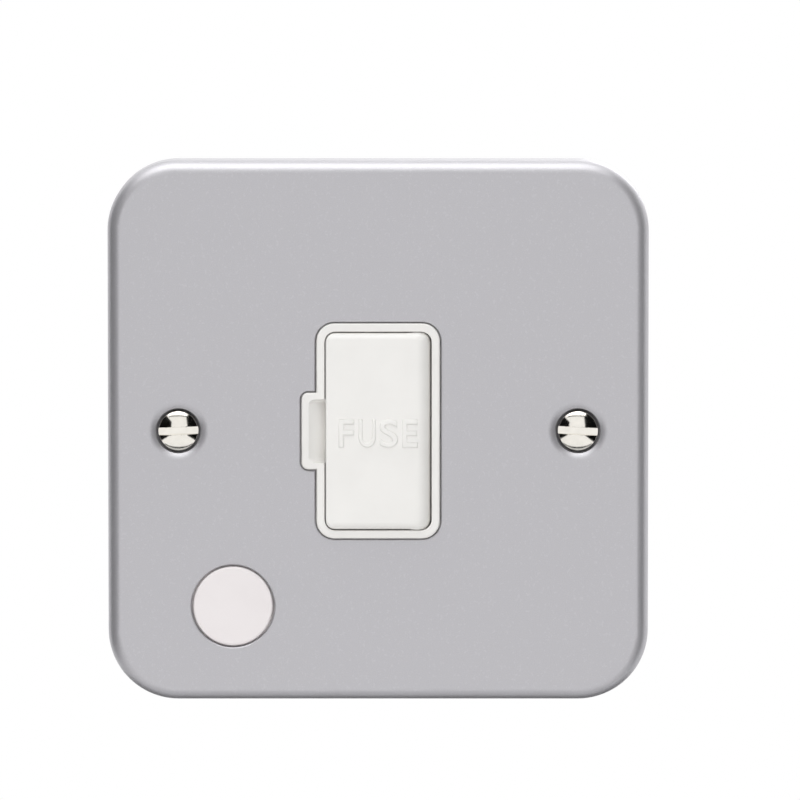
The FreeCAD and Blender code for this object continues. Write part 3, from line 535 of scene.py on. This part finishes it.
def carrier_slab():
    """The carrier's face: rolled ends, a round hinge edge on the right, round corners."""
    half_w = CARRIER_HALF_W
    half_h = CARRIER_HALF_H
    slab = block("carrier_moulding", (-half_w, half_w), (CARRIER_FACE, CARRIER_BACK), (-half_h, half_h))
    weights = slab.data.attributes.new("bevel_weight_edge", "FLOAT", "EDGE")
    vertices = slab.data.vertices
    for edge in slab.data.edges:
        a, b = (vertices[i].co / MM for i in edge.vertices)
        weights.data[edge.index].value = slab_edge_radius(a, b) / HINGE_EDGE_R
    take(slab)
    modifier = slab.modifiers.new("rolled", "BEVEL")
    modifier.width = HINGE_EDGE_R * MM
    modifier.segments = 12
    modifier.limit_method = "WEIGHT"
    modifier.use_clamp_overlap = False
    bpy.ops.object.modifier_apply(modifier=modifier.name)
    return slab


def carrier_moulding():
    """The carrier: its slab, the cradle round the fuse, two cheeks, the barrel and the pins."""
    slab = carrier_slab()
    bore_r = BARREL_R + CRADLE_GAP
    half_cradle = bore_r + CRADLE_WALL
    cradle_x = (FUSE_X - half_cradle, FUSE_X + half_cradle)
    cradle_y = (CARRIER_BACK - CRADLE_ROOT, FUSE_Y + CRADLE_WRAP)
    cradle = block("cradle", cradle_x, cradle_y, (-CRADLE_HALF_LENGTH, CRADLE_HALF_LENGTH))
    bore = drum(
        "bore", bore_r, "Z", (FUSE_X, FUSE_Y, -CARRIER_HALF_H), (FUSE_X, FUSE_Y, CARRIER_HALF_H),
    )
    add(slab, cut(cradle, bore))
    start = FUSE_HALF + CHEEK_GAP
    for side in (-1, 1):
        ends = sorted((side * start, side * (start + CHEEK_THICK)))
        add(slab, block("cheek", cradle_x, cradle_y, ends))
    for name, radius, end, sides in (
        ("barrel", HINGE_BARREL_R, CARRIER_HALF_H - SLIVER, 72), ("pin", HINGE_PIN_R, CARRIER[2][1], 40),
    ):
        add(slab, drum(name, radius, "Z", (HINGE_X, HINGE_Y, -end), (HINGE_X, HINGE_Y, end), sides))
    return smoothed(slab, angle=40.0)


def relief(text, across, up, place):
    """Letters in low relief, fitted between two values across and two up, their back half sunk."""
    let_go()
    bpy.ops.object.text_add(location=(0.0, 0.0, 0.0))
    piece = bpy.context.object
    piece.data.body = text
    piece.data.extrude = LETTER_CORE
    piece.data.bevel_depth = LETTER_SLOPE
    piece.data.offset = LETTER_THINNED
    piece.data.bevel_resolution = 2
    piece.data.resolution_u = 12
    bpy.ops.object.convert(target="MESH")
    piece = bpy.context.object
    xs = [v.co.x for v in piece.data.vertices]
    ys = [v.co.y for v in piece.data.vertices]
    wide = (across[1] - across[0]) / (max(xs) - min(xs))
    high = (up[1] - up[0]) / (max(ys) - min(ys))
    reach = max(v.co.z for v in piece.data.vertices)
    for v in piece.data.vertices:
        a = across[0] + (v.co.x - min(xs)) * wide
        b = up[0] + (v.co.y - min(ys)) * high
        v.co = Vector(place(a, b, v.co.z / reach * LETTER_PROUD)) * MM
    return piece


def joined(name, pieces):
    """Several pieces as one object."""
    take(pieces[0])
    for other in pieces[1:]:
        other.select_set(True)
    bpy.ops.object.join()
    piece = bpy.context.object
    piece.name = name
    piece.data.name = name
    return piece


def raised_word():
    """The function word on the carrier, one letter at a time, at its size and place."""

    def on_carrier(a, b, proud):
        return (a, CARRIER_FACE - proud, b)

    made = [relief(letter, (left, right), WORD_Z, on_carrier) for letter, left, right in WORD_LETTERS]
    return joined("raised_word", made)


def terminal_marks():
    """What each terminal is for, raised on the back of the terminal housing."""
    tower = BASE[1][1]
    floor = tower - TOWER_OVER_FLOOR

    def on_tower(a, b, proud):
        return (-a, tower + proud, b)

    def on_floor(a, b, proud):
        return (-a, floor + proud, b)

    made = [relief(word, across, up, on_floor) for word, across, up in FLOOR_MARKS]
    for side, letter in POLE_MARKS:
        across = around(side * TOWER_X, POLE_MARK_HALF)
        made += [relief(letter, across, (low, low + POLE_MARK_HEIGHT), on_tower) for low in POLE_MARK_LOW]
    y = around(tower, LETTER_PROUD)
    made.append(block("stem", around(EARTH_MARK_X, EARTH_LINE_HALF), y, EARTH_STEM_Z))
    for z, half in EARTH_BARS:
        made.append(block("bar", around(EARTH_MARK_X, half), y, around(z, EARTH_LINE_HALF)))
    return joined("terminal_marks", made)


def head_profile():
    """A raised countersunk head, from the top of its dome to the neck."""
    rim = PLATE_FRONT + HEAD_SUNK - HEAD_RIM
    dome_r = (HEAD_R ** 2 + HEAD_DOME ** 2) / (2 * HEAD_DOME)
    centre = rim - HEAD_DOME + dome_r
    profile = []
    steps = 12
    for i in range(steps):
        radius = HEAD_DOME_END_R * i / steps
        profile.append((radius, centre - math.sqrt(dome_r ** 2 - radius ** 2)))
    tilt = math.asin(HEAD_DOME_END_R / dome_r)
    shoulder_r = HEAD_DOME_END_R - HEAD_SHOULDER_R * math.sin(tilt)
    shoulder_y = centre - (dome_r - HEAD_SHOULDER_R) * math.cos(tilt)
    profile += arc(shoulder_r, shoulder_y, HEAD_SHOULDER_R, 270.0 + math.degrees(tilt), 358.0, 6)
    seat = PLATE_FRONT + HEAD_SEAT_DEPTH
    profile += [(HEAD_SEAT_R, seat), (NECK_R, seat + HEAD_SEAT_R - NECK_R)]
    return profile


def thread_profile(radius, depth, pitch, start, end):
    """Ridges of a thread, as a turned profile."""
    points = []
    for i in range(int((end - start) / pitch)):
        y = start + i * pitch
        points += [(radius - depth * sunk, y + pitch * along) for along, sunk in THREAD_FORM]
    return points + [(radius - depth, y + pitch)]


def fixing_screw(name, x, turn):
    """A fixing screw's slotted head and plain neck, with its slot turned by some degrees."""
    neck_end = RETAINERS[1][1] + NECK_PAST_RETAINER
    screw = turned(name, head_profile() + [(NECK_R, neck_end), (0.0, neck_end)], x, 0.0, steps=72)
    top = SCREWS[1][0]
    half = HEAD_SLOT / 2
    slot = block(
        "slot", (x - HEAD_R - PAST, x + HEAD_R + PAST), (top - PAST, top + HEAD_SLOT_DEPTH),
        (-half, half), turn,
    )
    cut(screw, slot)
    lean = math.radians(turn)

    def slot_mouth(a, b):
        """The two long edges where the slot meets the dome."""
        for p in (a, b):
            across = p.z * math.cos(lean) + (p.x - x) * math.sin(lean)
            if abs(abs(across) - half) > 2 * SAME or p.y > top + HEAD_SLOT_DEPTH - SLOT_FLOOR_BAND:
                return False
        return not along_y(a, b) and abs(b.x - a.x) > SAME

    round_edges(screw, slot_mouth, SLOT_BREAK, 2)
    return smoothed(screw, angle=30.0)


def screw_thread(name, x):
    """The threaded length of a fixing screw, from inside its neck to its end."""
    start = RETAINERS[1][1] + THREAD_PAST_RETAINER
    end = SCREWS[1][1]
    profile = [(0.0, start)]
    profile += thread_profile(THREAD_R, THREAD_DEPTH, THREAD_PITCH, start, end - TIP_LENGTH)
    profile += [(TIP_R, end - TIP_END_LENGTH), (TIP_END_R, end), (0.0, end)]
    return smoothed(turned(name, profile, x, 0.0, steps=48), angle=30.0)


def outlet_blank():
    """The moulded blank, flush in the plate, with its flange behind the sheet."""
    x, z = OUTLET
    rim_r = (BLANK[0][1] - BLANK[0][0]) / 2
    back = BLANK[1][1]
    disc_r = OUTLET_HOLE_R - BLANK_GAP
    hollow_r = BLANK_HOLLOW_R
    edge = BLANK_HOLLOW_BREAK
    floor = back - BLANK_HOLLOW_DEPTH
    profile = [(0.0, PLATE_FRONT)]
    profile += arc(disc_r - BLANK_FACE_R, PLATE_FRONT + BLANK_FACE_R, BLANK_FACE_R, 270.0, 360.0, 5)
    profile += [(disc_r, PLATE_BACK)]
    profile += arc(rim_r - BLANK_FLANGE_R, PLATE_BACK + BLANK_FLANGE_R, BLANK_FLANGE_R, 270.0, 360.0, 3)
    profile += arc(rim_r - BLANK_BACK_R, back - BLANK_BACK_R, BLANK_BACK_R, 0.0, 90.0, 3)
    profile += [(hollow_r + edge, back), (hollow_r, back - edge), (hollow_r - edge, floor), (0.0, floor)]
    return smoothed(turned("outlet_blank", profile, x, z, steps=FINE_STEPS), angle=40.0)


def laid_upright(piece):
    """Turn a piece made about Y so that it stands along Z, about the fuse's middle."""
    for vertex in piece.data.vertices:
        x, y, z = vertex.co
        vertex.co = (x, FUSE_Y * MM + z, y)
    take(piece)
    bpy.ops.object.mode_set(mode="EDIT")
    bpy.ops.mesh.select_all(action="SELECT")
    bpy.ops.mesh.normals_make_consistent(inside=False)
    bpy.ops.object.mode_set(mode="OBJECT")
    return piece


def fuse_body():
    """The fuse's ceramic barrel."""
    half = FUSE_HALF - BARREL_END_GAP
    profile = [(0.0, -half), (BARREL_R, -half), (BARREL_R, half), (0.0, half)]
    return smoothed(laid_upright(turned("ceramic_barrel", profile, FUSE_X, 0.0)))


def fuse_cap(side):
    """A drawn cap with a rounded end and a rolled crimp line."""
    end = FUSE_HALF
    start = end - CAP_LENGTH
    crimp = start + CRIMP_FROM_MOUTH
    inner_r = BARREL_R + SLIVER
    profile = [(inner_r, start), (CAP_R - CAP_MOUTH_BREAK, start), (CAP_R, start + CAP_MOUTH_BREAK)]
    profile += [(CAP_R, crimp - CRIMP_HALF), (CAP_R - CRIMP_DEPTH, crimp), (CAP_R, crimp + CRIMP_HALF)]
    profile += arc(CAP_R - CAP_EDGE_R, end - CAP_EDGE_R, CAP_EDGE_R, 0.0, 90.0, 6)
    profile += [(0.0, end), (0.0, end - CAP_WALL), (inner_r, end - CAP_WALL), (inner_r, start)]
    profile = [(r, side * y) for r, y in profile]
    name = "cap_top" if side > 0 else "cap_bottom"
    return smoothed(laid_upright(turned(name, profile, FUSE_X, 0.0, steps=72)))


def merged(name, node):
    """A copy of a CAD piece with its facets merged."""
    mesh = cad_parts[node].data.copy()
    mesh.materials.clear()
    piece = bpy.data.objects.new(name, mesh)
    bpy.context.scene.collection.objects.link(piece)
    mesh.name = name
    take(piece)
    bpy.ops.object.mode_set(mode="EDIT")
    bpy.ops.mesh.select_all(action="SELECT")
    bpy.ops.mesh.customdata_custom_splitnormals_clear()
    bpy.ops.mesh.remove_doubles(threshold=SAME * MM)
    bpy.ops.mesh.dissolve_limited(angle_limit=math.radians(0.5))
    bpy.ops.mesh.mark_sharp(clear=True)
    bpy.ops.object.mode_set(mode="OBJECT")
    return piece


def moulding_back():
    """The rest of the front moulding, from the new face backwards."""
    piece = merged("moulding_back", "front_moulding")
    half_w = FRAME_WIDTH / 2 + LUG_REACH + PAST
    half_h = FRAME_HEIGHT / 2 + PAST
    front = block("front", (-half_w, half_w), (FRAME_FRONT - PAST, SEAM_Y), (-half_h, half_h))
    cut(piece, front)
    broken_edges(piece, MOULDING_BREAK)
    edge = -FRAME_WIDTH / 2 + FRAME_RIM
    shelf = block(
        "shelf", (edge - SHELF_ROOT, edge + NOTCH_SHELF - SHELF_SHORT),
        (PLATE_BACK, FRAME_FRONT + NOTCH_DEEP + SHELF_UNDER),
        (NOTCH_LOW + SHELF_FOOT, NOTCH_HIGH - SHELF_HEAD),
    )
    cut(add(piece, shelf), notch_cutter())
    return smoothed(piece)


def softened(name, node, width):
    """A copy of a CAD piece with its edges broken."""
    return smoothed(broken_edges(merged(name, node), width))


class Look:
    """A material's nodes, with short ways to add the ones this object's finishes need."""

    def __init__(self, name):
        self.material = bpy.data.materials.new(name)
        self.material.use_nodes = True
        self.nodes = self.material.node_tree.nodes
        self.links = self.material.node_tree.links
        self.shader = self.nodes["Principled BSDF"]
        self.place = self.nodes.new("ShaderNodeTexCoord").outputs["Object"]

    def set(self, **values):
        """Set numbers that are the same all over the surface."""
        for key, value in values.items():
            self.shader.inputs[key.replace("_", " ")].default_value = value

    def noise(self, size_mm, detail=2.0, roughness=0.5):
        """Noise whose grains are about that many millimetres across."""
        node = self.nodes.new("ShaderNodeTexNoise")
        node.inputs["Scale"].default_value = 1.0 / (size_mm * MM)
        node.inputs["Detail"].default_value = detail
        node.inputs["Roughness"].default_value = roughness
        self.links.new(self.place, node.inputs["Vector"])
        return node.outputs["Fac"]

    def stretched_noise(self, size_mm, stretch):
        """Noise drawn out along each axis, for turned and rolled metal."""
        mapping = self.nodes.new("ShaderNodeMapping")
        mapping.inputs["Scale"].default_value = stretch
        self.links.new(self.place, mapping.inputs["Vector"])
        node = self.nodes.new("ShaderNodeTexNoise")
        node.inputs["Scale"].default_value = 1.0 / (size_mm * MM)
        node.inputs["Detail"].default_value = 3.0
        self.links.new(mapping.outputs["Vector"], node.inputs["Vector"])
        return node.outputs["Fac"]

    def ramp(self, source, low, high, values):
        """Turn a band of a noise into two colours or two levels of grey."""
        node = self.nodes.new("ShaderNodeValToRGB")
        node.color_ramp.elements[0].position = low
        node.color_ramp.elements[1].position = high
        for element, value in zip(node.color_ramp.elements, values):
            element.color = (*value, 1.0) if isinstance(value, tuple) else (value, value, value, 1.0)
        self.links.new(source, node.inputs["Fac"])
        return node.outputs["Color"]

    def mixed(self, how, amount, a, b):
        """Two colours put together."""
        node = self.nodes.new("ShaderNodeMix")
        node.data_type = "RGBA"
        node.blend_type = how
        node.inputs["Factor"].default_value = amount
        self.links.new(a, node.inputs["A"])
        self.links.new(b, node.inputs["B"])
        return node.outputs["Result"]

    def colour(self, source):
        """Give the surface a colour that varies over it."""
        self.links.new(source, self.shader.inputs["Base Color"])

    def roughness(self, source, low, high):
        """Let the roughness vary between two values."""
        node = self.nodes.new("ShaderNodeMapRange")
        node.inputs["To Min"].default_value = low
        node.inputs["To Max"].default_value = high
        self.links.new(source, node.inputs["Value"])
        self.links.new(node.outputs["Result"], self.shader.inputs["Roughness"])

    def bump(self, source, height_mm, strength):
        """A fine unevenness of the surface, of some height."""
        node = self.nodes.new("ShaderNodeBump")
        node.inputs["Distance"].default_value = height_mm * MM
        node.inputs["Strength"].default_value = strength
        self.links.new(source, node.inputs["Height"])
        self.links.new(node.outputs["Normal"], self.shader.inputs["Normal"])


def satin_plate_paint():
    """Silver-grey satin paint with very fine metallic specks and a faint orange peel."""
    look = Look("satin_plate_paint")
    look.set(Metallic=0.68)
    specks = look.ramp(look.noise(0.16, 1.0), 0.36, 0.64, ((0.589, 0.579, 0.604), (0.618, 0.608, 0.634)))
    sparse = look.ramp(look.noise(0.34, 0.0), 0.68, 0.78, (0.95, 1.0))
    look.colour(look.mixed("MULTIPLY", 1.0, specks, sparse))
    look.roughness(look.noise(0.9, 2.0), 0.4, 0.47)
    look.bump(look.noise(0.7, 2.0), 0.012, 0.35)
    return look.material


def white_thermoset(name, low, high, roughness):
    """White moulded plastic, satin, with the slight waviness of a moulded skin."""
    look = Look(name)
    look.colour(look.ramp(look.noise(6.0, 3.0), 0.3, 0.7, (low, high)))
    look.roughness(look.noise(1.2, 3.0), roughness - 0.04, roughness + 0.04)
    look.bump(look.noise(0.5, 3.0), 0.006, 0.25)
    look.set(IOR=1.5)
    return look.material


def plated(name, low, high, roughness, grain_mm, stretch):
    """Plated metal with a drawn or turned grain."""
    look = Look(name)
    look.set(Metallic=1.0)
    grain = look.stretched_noise(grain_mm, stretch)
    look.colour(look.ramp(look.noise(1.5, 3.0), 0.3, 0.7, (low, high)))
    look.roughness(grain, roughness * 0.8, roughness * 1.3)
    look.bump(grain, 0.004, 0.25)
    return look.material


def red_fibre():
    """Vulcanised fibre of the retaining washers."""
    look = Look("red_fibre")
    look.colour(look.ramp(look.noise(0.5, 4.0), 0.3, 0.7, ((0.3, 0.1, 0.06), (0.42, 0.17, 0.1))))
    look.roughness(look.noise(0.4, 3.0), 0.6, 0.8)
    look.bump(look.noise(0.2, 4.0), 0.02, 0.4)
    return look.material


def barrel_ceramic():
    """Unglazed fuse ceramic with a fine grain."""
    look = Look("barrel_ceramic")
    look.colour(look.ramp(look.noise(0.8, 4.0), 0.3, 0.75, ((0.74, 0.7, 0.62), (0.83, 0.8, 0.73))))
    look.roughness(look.noise(0.3, 3.0), 0.5, 0.65)
    look.bump(look.noise(0.15, 3.0), 0.01, 0.3)
    return look.material


def copper_flash():
    """A thin copper coat on a weld stud."""
    look = Look("copper_flash")
    look.set(Metallic=1.0)
    look.colour(look.ramp(look.noise(0.8, 3.0), 0.35, 0.7, ((0.5, 0.33, 0.24), (0.72, 0.5, 0.38))))
    look.roughness(look.noise(0.4, 3.0), 0.3, 0.5)
    look.bump(look.noise(0.2, 3.0), 0.01, 0.3)
    return look.material


PAINT = satin_plate_paint()
FRAME_WHITE = white_thermoset("frame_white", (0.765, 0.75, 0.722), (0.79, 0.775, 0.747), 0.34)
CARRIER_WHITE = white_thermoset("carrier_white", (0.79, 0.775, 0.745), (0.815, 0.8, 0.77), 0.34)
BLANK_WHITE = white_thermoset("blank_white", (0.755, 0.713, 0.708), (0.78, 0.738, 0.733), 0.36)
BASE_WHITE = white_thermoset("base_white", (0.72, 0.705, 0.675), (0.76, 0.745, 0.715), 0.42)
NICKEL = plated("nickel", (0.82, 0.79, 0.73), (0.89, 0.86, 0.8), 0.1, 0.3, (1.0, 0.15, 1.0))
THREAD_NICKEL = plated("thread_nickel", (0.46, 0.44, 0.41), (0.56, 0.54, 0.5), 0.26, 0.3, (1.0, 0.3, 1.0))
CAP_NICKEL = plated("cap_nickel", (0.68, 0.66, 0.62), (0.76, 0.74, 0.7), 0.22, 0.3, (1.0, 1.0, 0.12))
ZINC = plated("zinc", (0.6, 0.61, 0.63), (0.7, 0.71, 0.72), 0.28, 0.5, (1.0, 0.6, 1.0))
BRASS = plated("brass", (0.7, 0.52, 0.24), (0.8, 0.62, 0.32), 0.25, 0.4, (1.0, 1.0, 0.1))
BRONZE = plated("bronze", (0.62, 0.38, 0.22), (0.72, 0.48, 0.3), 0.28, 0.4, (0.1, 1.0, 1.0))
FIBRE = red_fibre()
CERAMIC = barrel_ceramic()
COPPER = copper_flash()


def fitted(piece, material, slot, body, *nodes):
    """Give a new piece its finish and its body, and hide the nodes it stands for."""
    piece.data.materials.clear()
    piece.data.materials.append(material)
    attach(piece, body)
    if nodes:
        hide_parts(*nodes)
    return piece


fitted(plate_pressing(), PAINT, "plate_paint", "unit", "front_plate")
fitted(face_moulding(), FRAME_WHITE, "white_moulding", "unit", "front_moulding")
fitted(moulding_back(), FRAME_WHITE, "white_moulding", "unit", "front_moulding")
fitted(carrier_moulding(), CARRIER_WHITE, "white_carrier", "carrier", "fuse_carrier")
fitted(raised_word(), CARRIER_WHITE, "white_carrier", "carrier")
fitted(fixing_screw("fixing_screw_left", -FIXING_X, -2.0), NICKEL, "nickel_plate", "unit", "fixing_screws")
fitted(fixing_screw("fixing_screw_right", FIXING_X, 3.0), NICKEL, "nickel_plate", "unit")
fitted(screw_thread("screw_thread_left", -FIXING_X), THREAD_NICKEL, "nickel_plate", "unit")
fitted(screw_thread("screw_thread_right", FIXING_X), THREAD_NICKEL, "nickel_plate", "unit")
fitted(terminal_marks(), BASE_WHITE, "base_moulding", "unit")
fitted(outlet_blank(), BLANK_WHITE, "white_blank", "unit", "flex_outlet_blank")
fitted(fuse_body(), CERAMIC, "fuse_ceramic", "carrier", "fuse_barrel")
fitted(fuse_cap(1), CAP_NICKEL, "cap_nickel", "carrier", "fuse_end_caps")
fitted(fuse_cap(-1), CAP_NICKEL, "cap_nickel", "carrier")

SOFTENED = (
    ("terminal_housing", "terminal_base", 0.25, BASE_WHITE, "base_moulding"),
    ("grip_bar", "cord_grip_bar", 0.3, BASE_WHITE, "base_moulding"),
    ("retaining_fibres", "screw_retaining_washers", 0.08, FIBRE, "fibre"),
    ("clip_supply", "supply_fuse_clip", 0.06, BRONZE, "spring_bronze"),
    ("clip_load", "load_fuse_clip", 0.06, BRONZE, "spring_bronze"),
    ("block_supply_live", "supply_live_terminal", 0.15, BRASS, "terminal_brass"),
    ("block_supply_neutral", "supply_neutral_terminal", 0.15, BRASS, "terminal_brass"),
    ("block_load_live", "load_live_terminal", 0.15, BRASS, "terminal_brass"),
    ("block_load_neutral", "load_neutral_terminal", 0.15, BRASS, "terminal_brass"),
    ("block_supply_earth", "supply_earth_terminal", 0.15, BRASS, "terminal_brass"),
    ("block_load_earth", "load_earth_terminal", 0.15, BRASS, "terminal_brass"),
    ("clamp_screws", "terminal_screws", 0.1, ZINC, "zinc_plate"),
    ("link_neutral", "neutral_link", 0.08, BRASS, "terminal_brass"),
    ("strap_earth", "earth_strap", 0.08, BRASS, "terminal_brass"),
    ("weld_studs", "plate_studs", 0.15, COPPER, "stud_steel"),
    ("spring_washers", "stud_washers", 0.08, ZINC, "zinc_plate"),
    ("nuts", "stud_nuts", 0.15, ZINC, "zinc_plate"),
    ("joining_screws", "base_joining_screws", 0.12, ZINC, "zinc_plate"),
    ("grip_screws", "cord_grip_screws", 0.12, ZINC, "zinc_plate"),
)
for name, node, width, material, slot in SOFTENED:
    fitted(softened(name, node, width), material, slot, "unit", node)


# Studio: places and sizes in metres, power in watts
WORLD_LEVEL = 1.26
NEUTRAL = (1.0, 1.0, 1.0)
LIGHTS = (
    ("overhead_softbox", (-0.16, -0.5, 1.52), (1.5, 1.3), 10.6, NEUTRAL, True),
    ("front_softbox", (-0.1, -1.12, 1.14), (1.5, 0.28), 1.7, NEUTRAL, True),
    ("rear_fill", (0.5, 1.0, 0.6), (0.8, 0.8), 4.0, NEUTRAL, True),
    ("table_glow", (-0.2, -0.35, -0.27), (0.3, 0.15), 0.62, (1.0, 0.97, 0.97), False),
    ("side_fill", (0.42, -0.4, 0.1), (0.4, 0.4), 0.9, NEUTRAL, False),
)
FLOOR_HALF = 1.5
FLOOR_LEVEL = -0.90
FLOOR_GREY = 0.8

# Dark cards beside the unit: the side, the far edge, the lower and the upper edge
CARD_X = 0.45
CARD_NEAR = -1.1
CARD_GREY = 0.004
DARK_CARDS = ((-1, 0.15, -0.28, 0.45), (1, -0.02, -0.34, 0.75))

# Sheets that only reflections show: half the width, the near and the far edge as (y, z), the grey
LOW_HALF = 0.8
LOW_LEVEL = -0.8
SHEETS = (
    ("table_edge", LOW_HALF, (-0.68, LOW_LEVEL), (-0.57, LOW_LEVEL), 0.02),
    ("table_side", LOW_HALF, (-0.57, LOW_LEVEL), (0.0, LOW_LEVEL), 0.5),
    ("low_card", LOW_HALF, (0.0, LOW_LEVEL), (1.2, LOW_LEVEL), 0.02),
    ("softbox_frame", 0.75, (-1.203, 0.896), (-1.146, 0.968), 0.02),
)

# The view is aimed a little right of and above the unit's middle, through a long lens, from
# just above.
VIEW_TARGET = Vector((3.29, -8.0, 4.69)) * MM
VIEW_ELEVATION = math.radians(4.5)
VIEW_DISTANCE = 1.2
VIEW_WIDTH = 0.12045
SENSOR = 36.0


def stage_piece(name, corners, grey, camera_sees=True, shows_white=False):
    """A flat sheet of the studio, from four corners in metres."""
    let_go()
    bpy.ops.mesh.primitive_plane_add(size=1.0)
    sheet = bpy.context.object
    sheet.name = name
    for vertex, corner in zip(sheet.data.vertices, corners):
        vertex.co = corner
    look = bpy.data.materials.new(name)
    look.use_nodes = True
    nodes = look.node_tree.nodes
    links = look.node_tree.links
    shader = nodes["Principled BSDF"]
    shader.inputs["Base Color"].default_value = (grey, grey, grey, 1.0)
    shader.inputs["Roughness"].default_value = 0.9
    shader.inputs["Specular IOR Level"].default_value = 0.0
    if shows_white:
        bright = nodes.new("ShaderNodeEmission")
        mix = nodes.new("ShaderNodeMixShader")
        links.new(seen_directly(look.node_tree), mix.inputs["Fac"])
        links.new(shader.outputs["BSDF"], mix.inputs[1])
        links.new(bright.outputs["Emission"], mix.inputs[2])
        links.new(mix.outputs["Shader"], nodes["Material Output"].inputs["Surface"])
    sheet.data.materials.append(look)
    sheet.visible_camera = camera_sees


def seen_directly(tree):
    """1 for what the camera sees, straight, in a reflection or through glass, and otherwise 0."""
    path = tree.nodes.new("ShaderNodeLightPath")
    total = path.outputs["Is Camera Ray"]
    for name in ("Is Glossy Ray", "Is Transmission Ray"):
        either = tree.nodes.new("ShaderNodeMath")
        either.operation = "MAXIMUM"
        tree.links.new(total, either.inputs[0])
        tree.links.new(path.outputs[name], either.inputs[1])
        total = either.outputs["Value"]
    return total


def white_backdrop():
    """White to the eye and in reflections, and a plain soft level of light on everything else."""
    world = bpy.data.worlds.new("studio")
    bpy.context.scene.world = world
    world.use_nodes = True
    nodes = world.node_tree.nodes
    links = world.node_tree.links
    nodes.clear()
    seen = nodes.new("ShaderNodeBackground")
    seen.inputs["Strength"].default_value = 1.0
    seen.inputs["Color"].default_value = (1.0, 1.0, 1.0, 1.0)
    soft = nodes.new("ShaderNodeBackground")
    soft.inputs["Strength"].default_value = WORLD_LEVEL
    soft.inputs["Color"].default_value = (0.97, 0.985, 1.0, 1.0)
    mix = nodes.new("ShaderNodeMixShader")
    links.new(seen_directly(world.node_tree), mix.inputs["Fac"])
    links.new(soft.outputs["Background"], mix.inputs[1])
    links.new(seen.outputs["Background"], mix.inputs[2])
    out = nodes.new("ShaderNodeOutputWorld")
    links.new(mix.outputs["Shader"], out.inputs["Surface"])


def sheet_corners(half, near, far):
    """Corners of a sheet centred in X, from half its width and two edges given as (y, z)."""
    return [(x, *edge) for edge in (near, far) for x in (-half, half)]


def soft_light(name, place, size, watts, colour, in_reflections):
    """A softbox that faces the unit, with its width and height."""
    let_go()
    bpy.ops.object.light_add(type="AREA", location=place)
    lamp = bpy.context.object
    lamp.name = name
    lamp.data.shape = "RECTANGLE"
    lamp.data.size, lamp.data.size_y = size
    lamp.data.energy = watts
    lamp.data.color = colour
    aim = Vector((0.0, PLATE_FRONT * MM, 0.0))
    lamp.rotation_euler = (aim - Vector(place)).to_track_quat("-Z", "Y").to_euler()
    lamp.visible_glossy = in_reflections


def view_camera():
    """The camera, on its line of sight."""
    let_go()
    back = Vector((0.0, -math.cos(VIEW_ELEVATION), math.sin(VIEW_ELEVATION)))
    bpy.ops.object.camera_add(location=VIEW_TARGET + back * VIEW_DISTANCE)
    camera = bpy.context.object
    camera.name = "view_camera"
    camera.rotation_euler = (-back).to_track_quat("-Z", "Y").to_euler()
    camera.data.sensor_width = SENSOR
    camera.data.lens = SENSOR * VIEW_DISTANCE / VIEW_WIDTH
    camera.data.clip_start = 0.01
    camera.data.clip_end = 20.0
    bpy.context.scene.camera = camera


view_camera()
white_backdrop()
for light in LIGHTS:
    soft_light(*light)
floor_edges = [(y, FLOOR_LEVEL) for y in (-FLOOR_HALF, FLOOR_HALF)]
stage_piece("floor", sheet_corners(FLOOR_HALF, *floor_edges), FLOOR_GREY, shows_white=True)
for side, far, low, high in DARK_CARDS:
    upright = [(side * CARD_X, y, z) for z in (low, high) for y in (CARD_NEAR, far)]
    stage_piece("dark_card", upright, CARD_GREY, camera_sees=False)
for name, half, near, far, grey in SHEETS:
    stage_piece(name, sheet_corners(half, near, far), grey, camera_sees=False)

bpy.context.scene.view_settings.view_transform = "Standard"
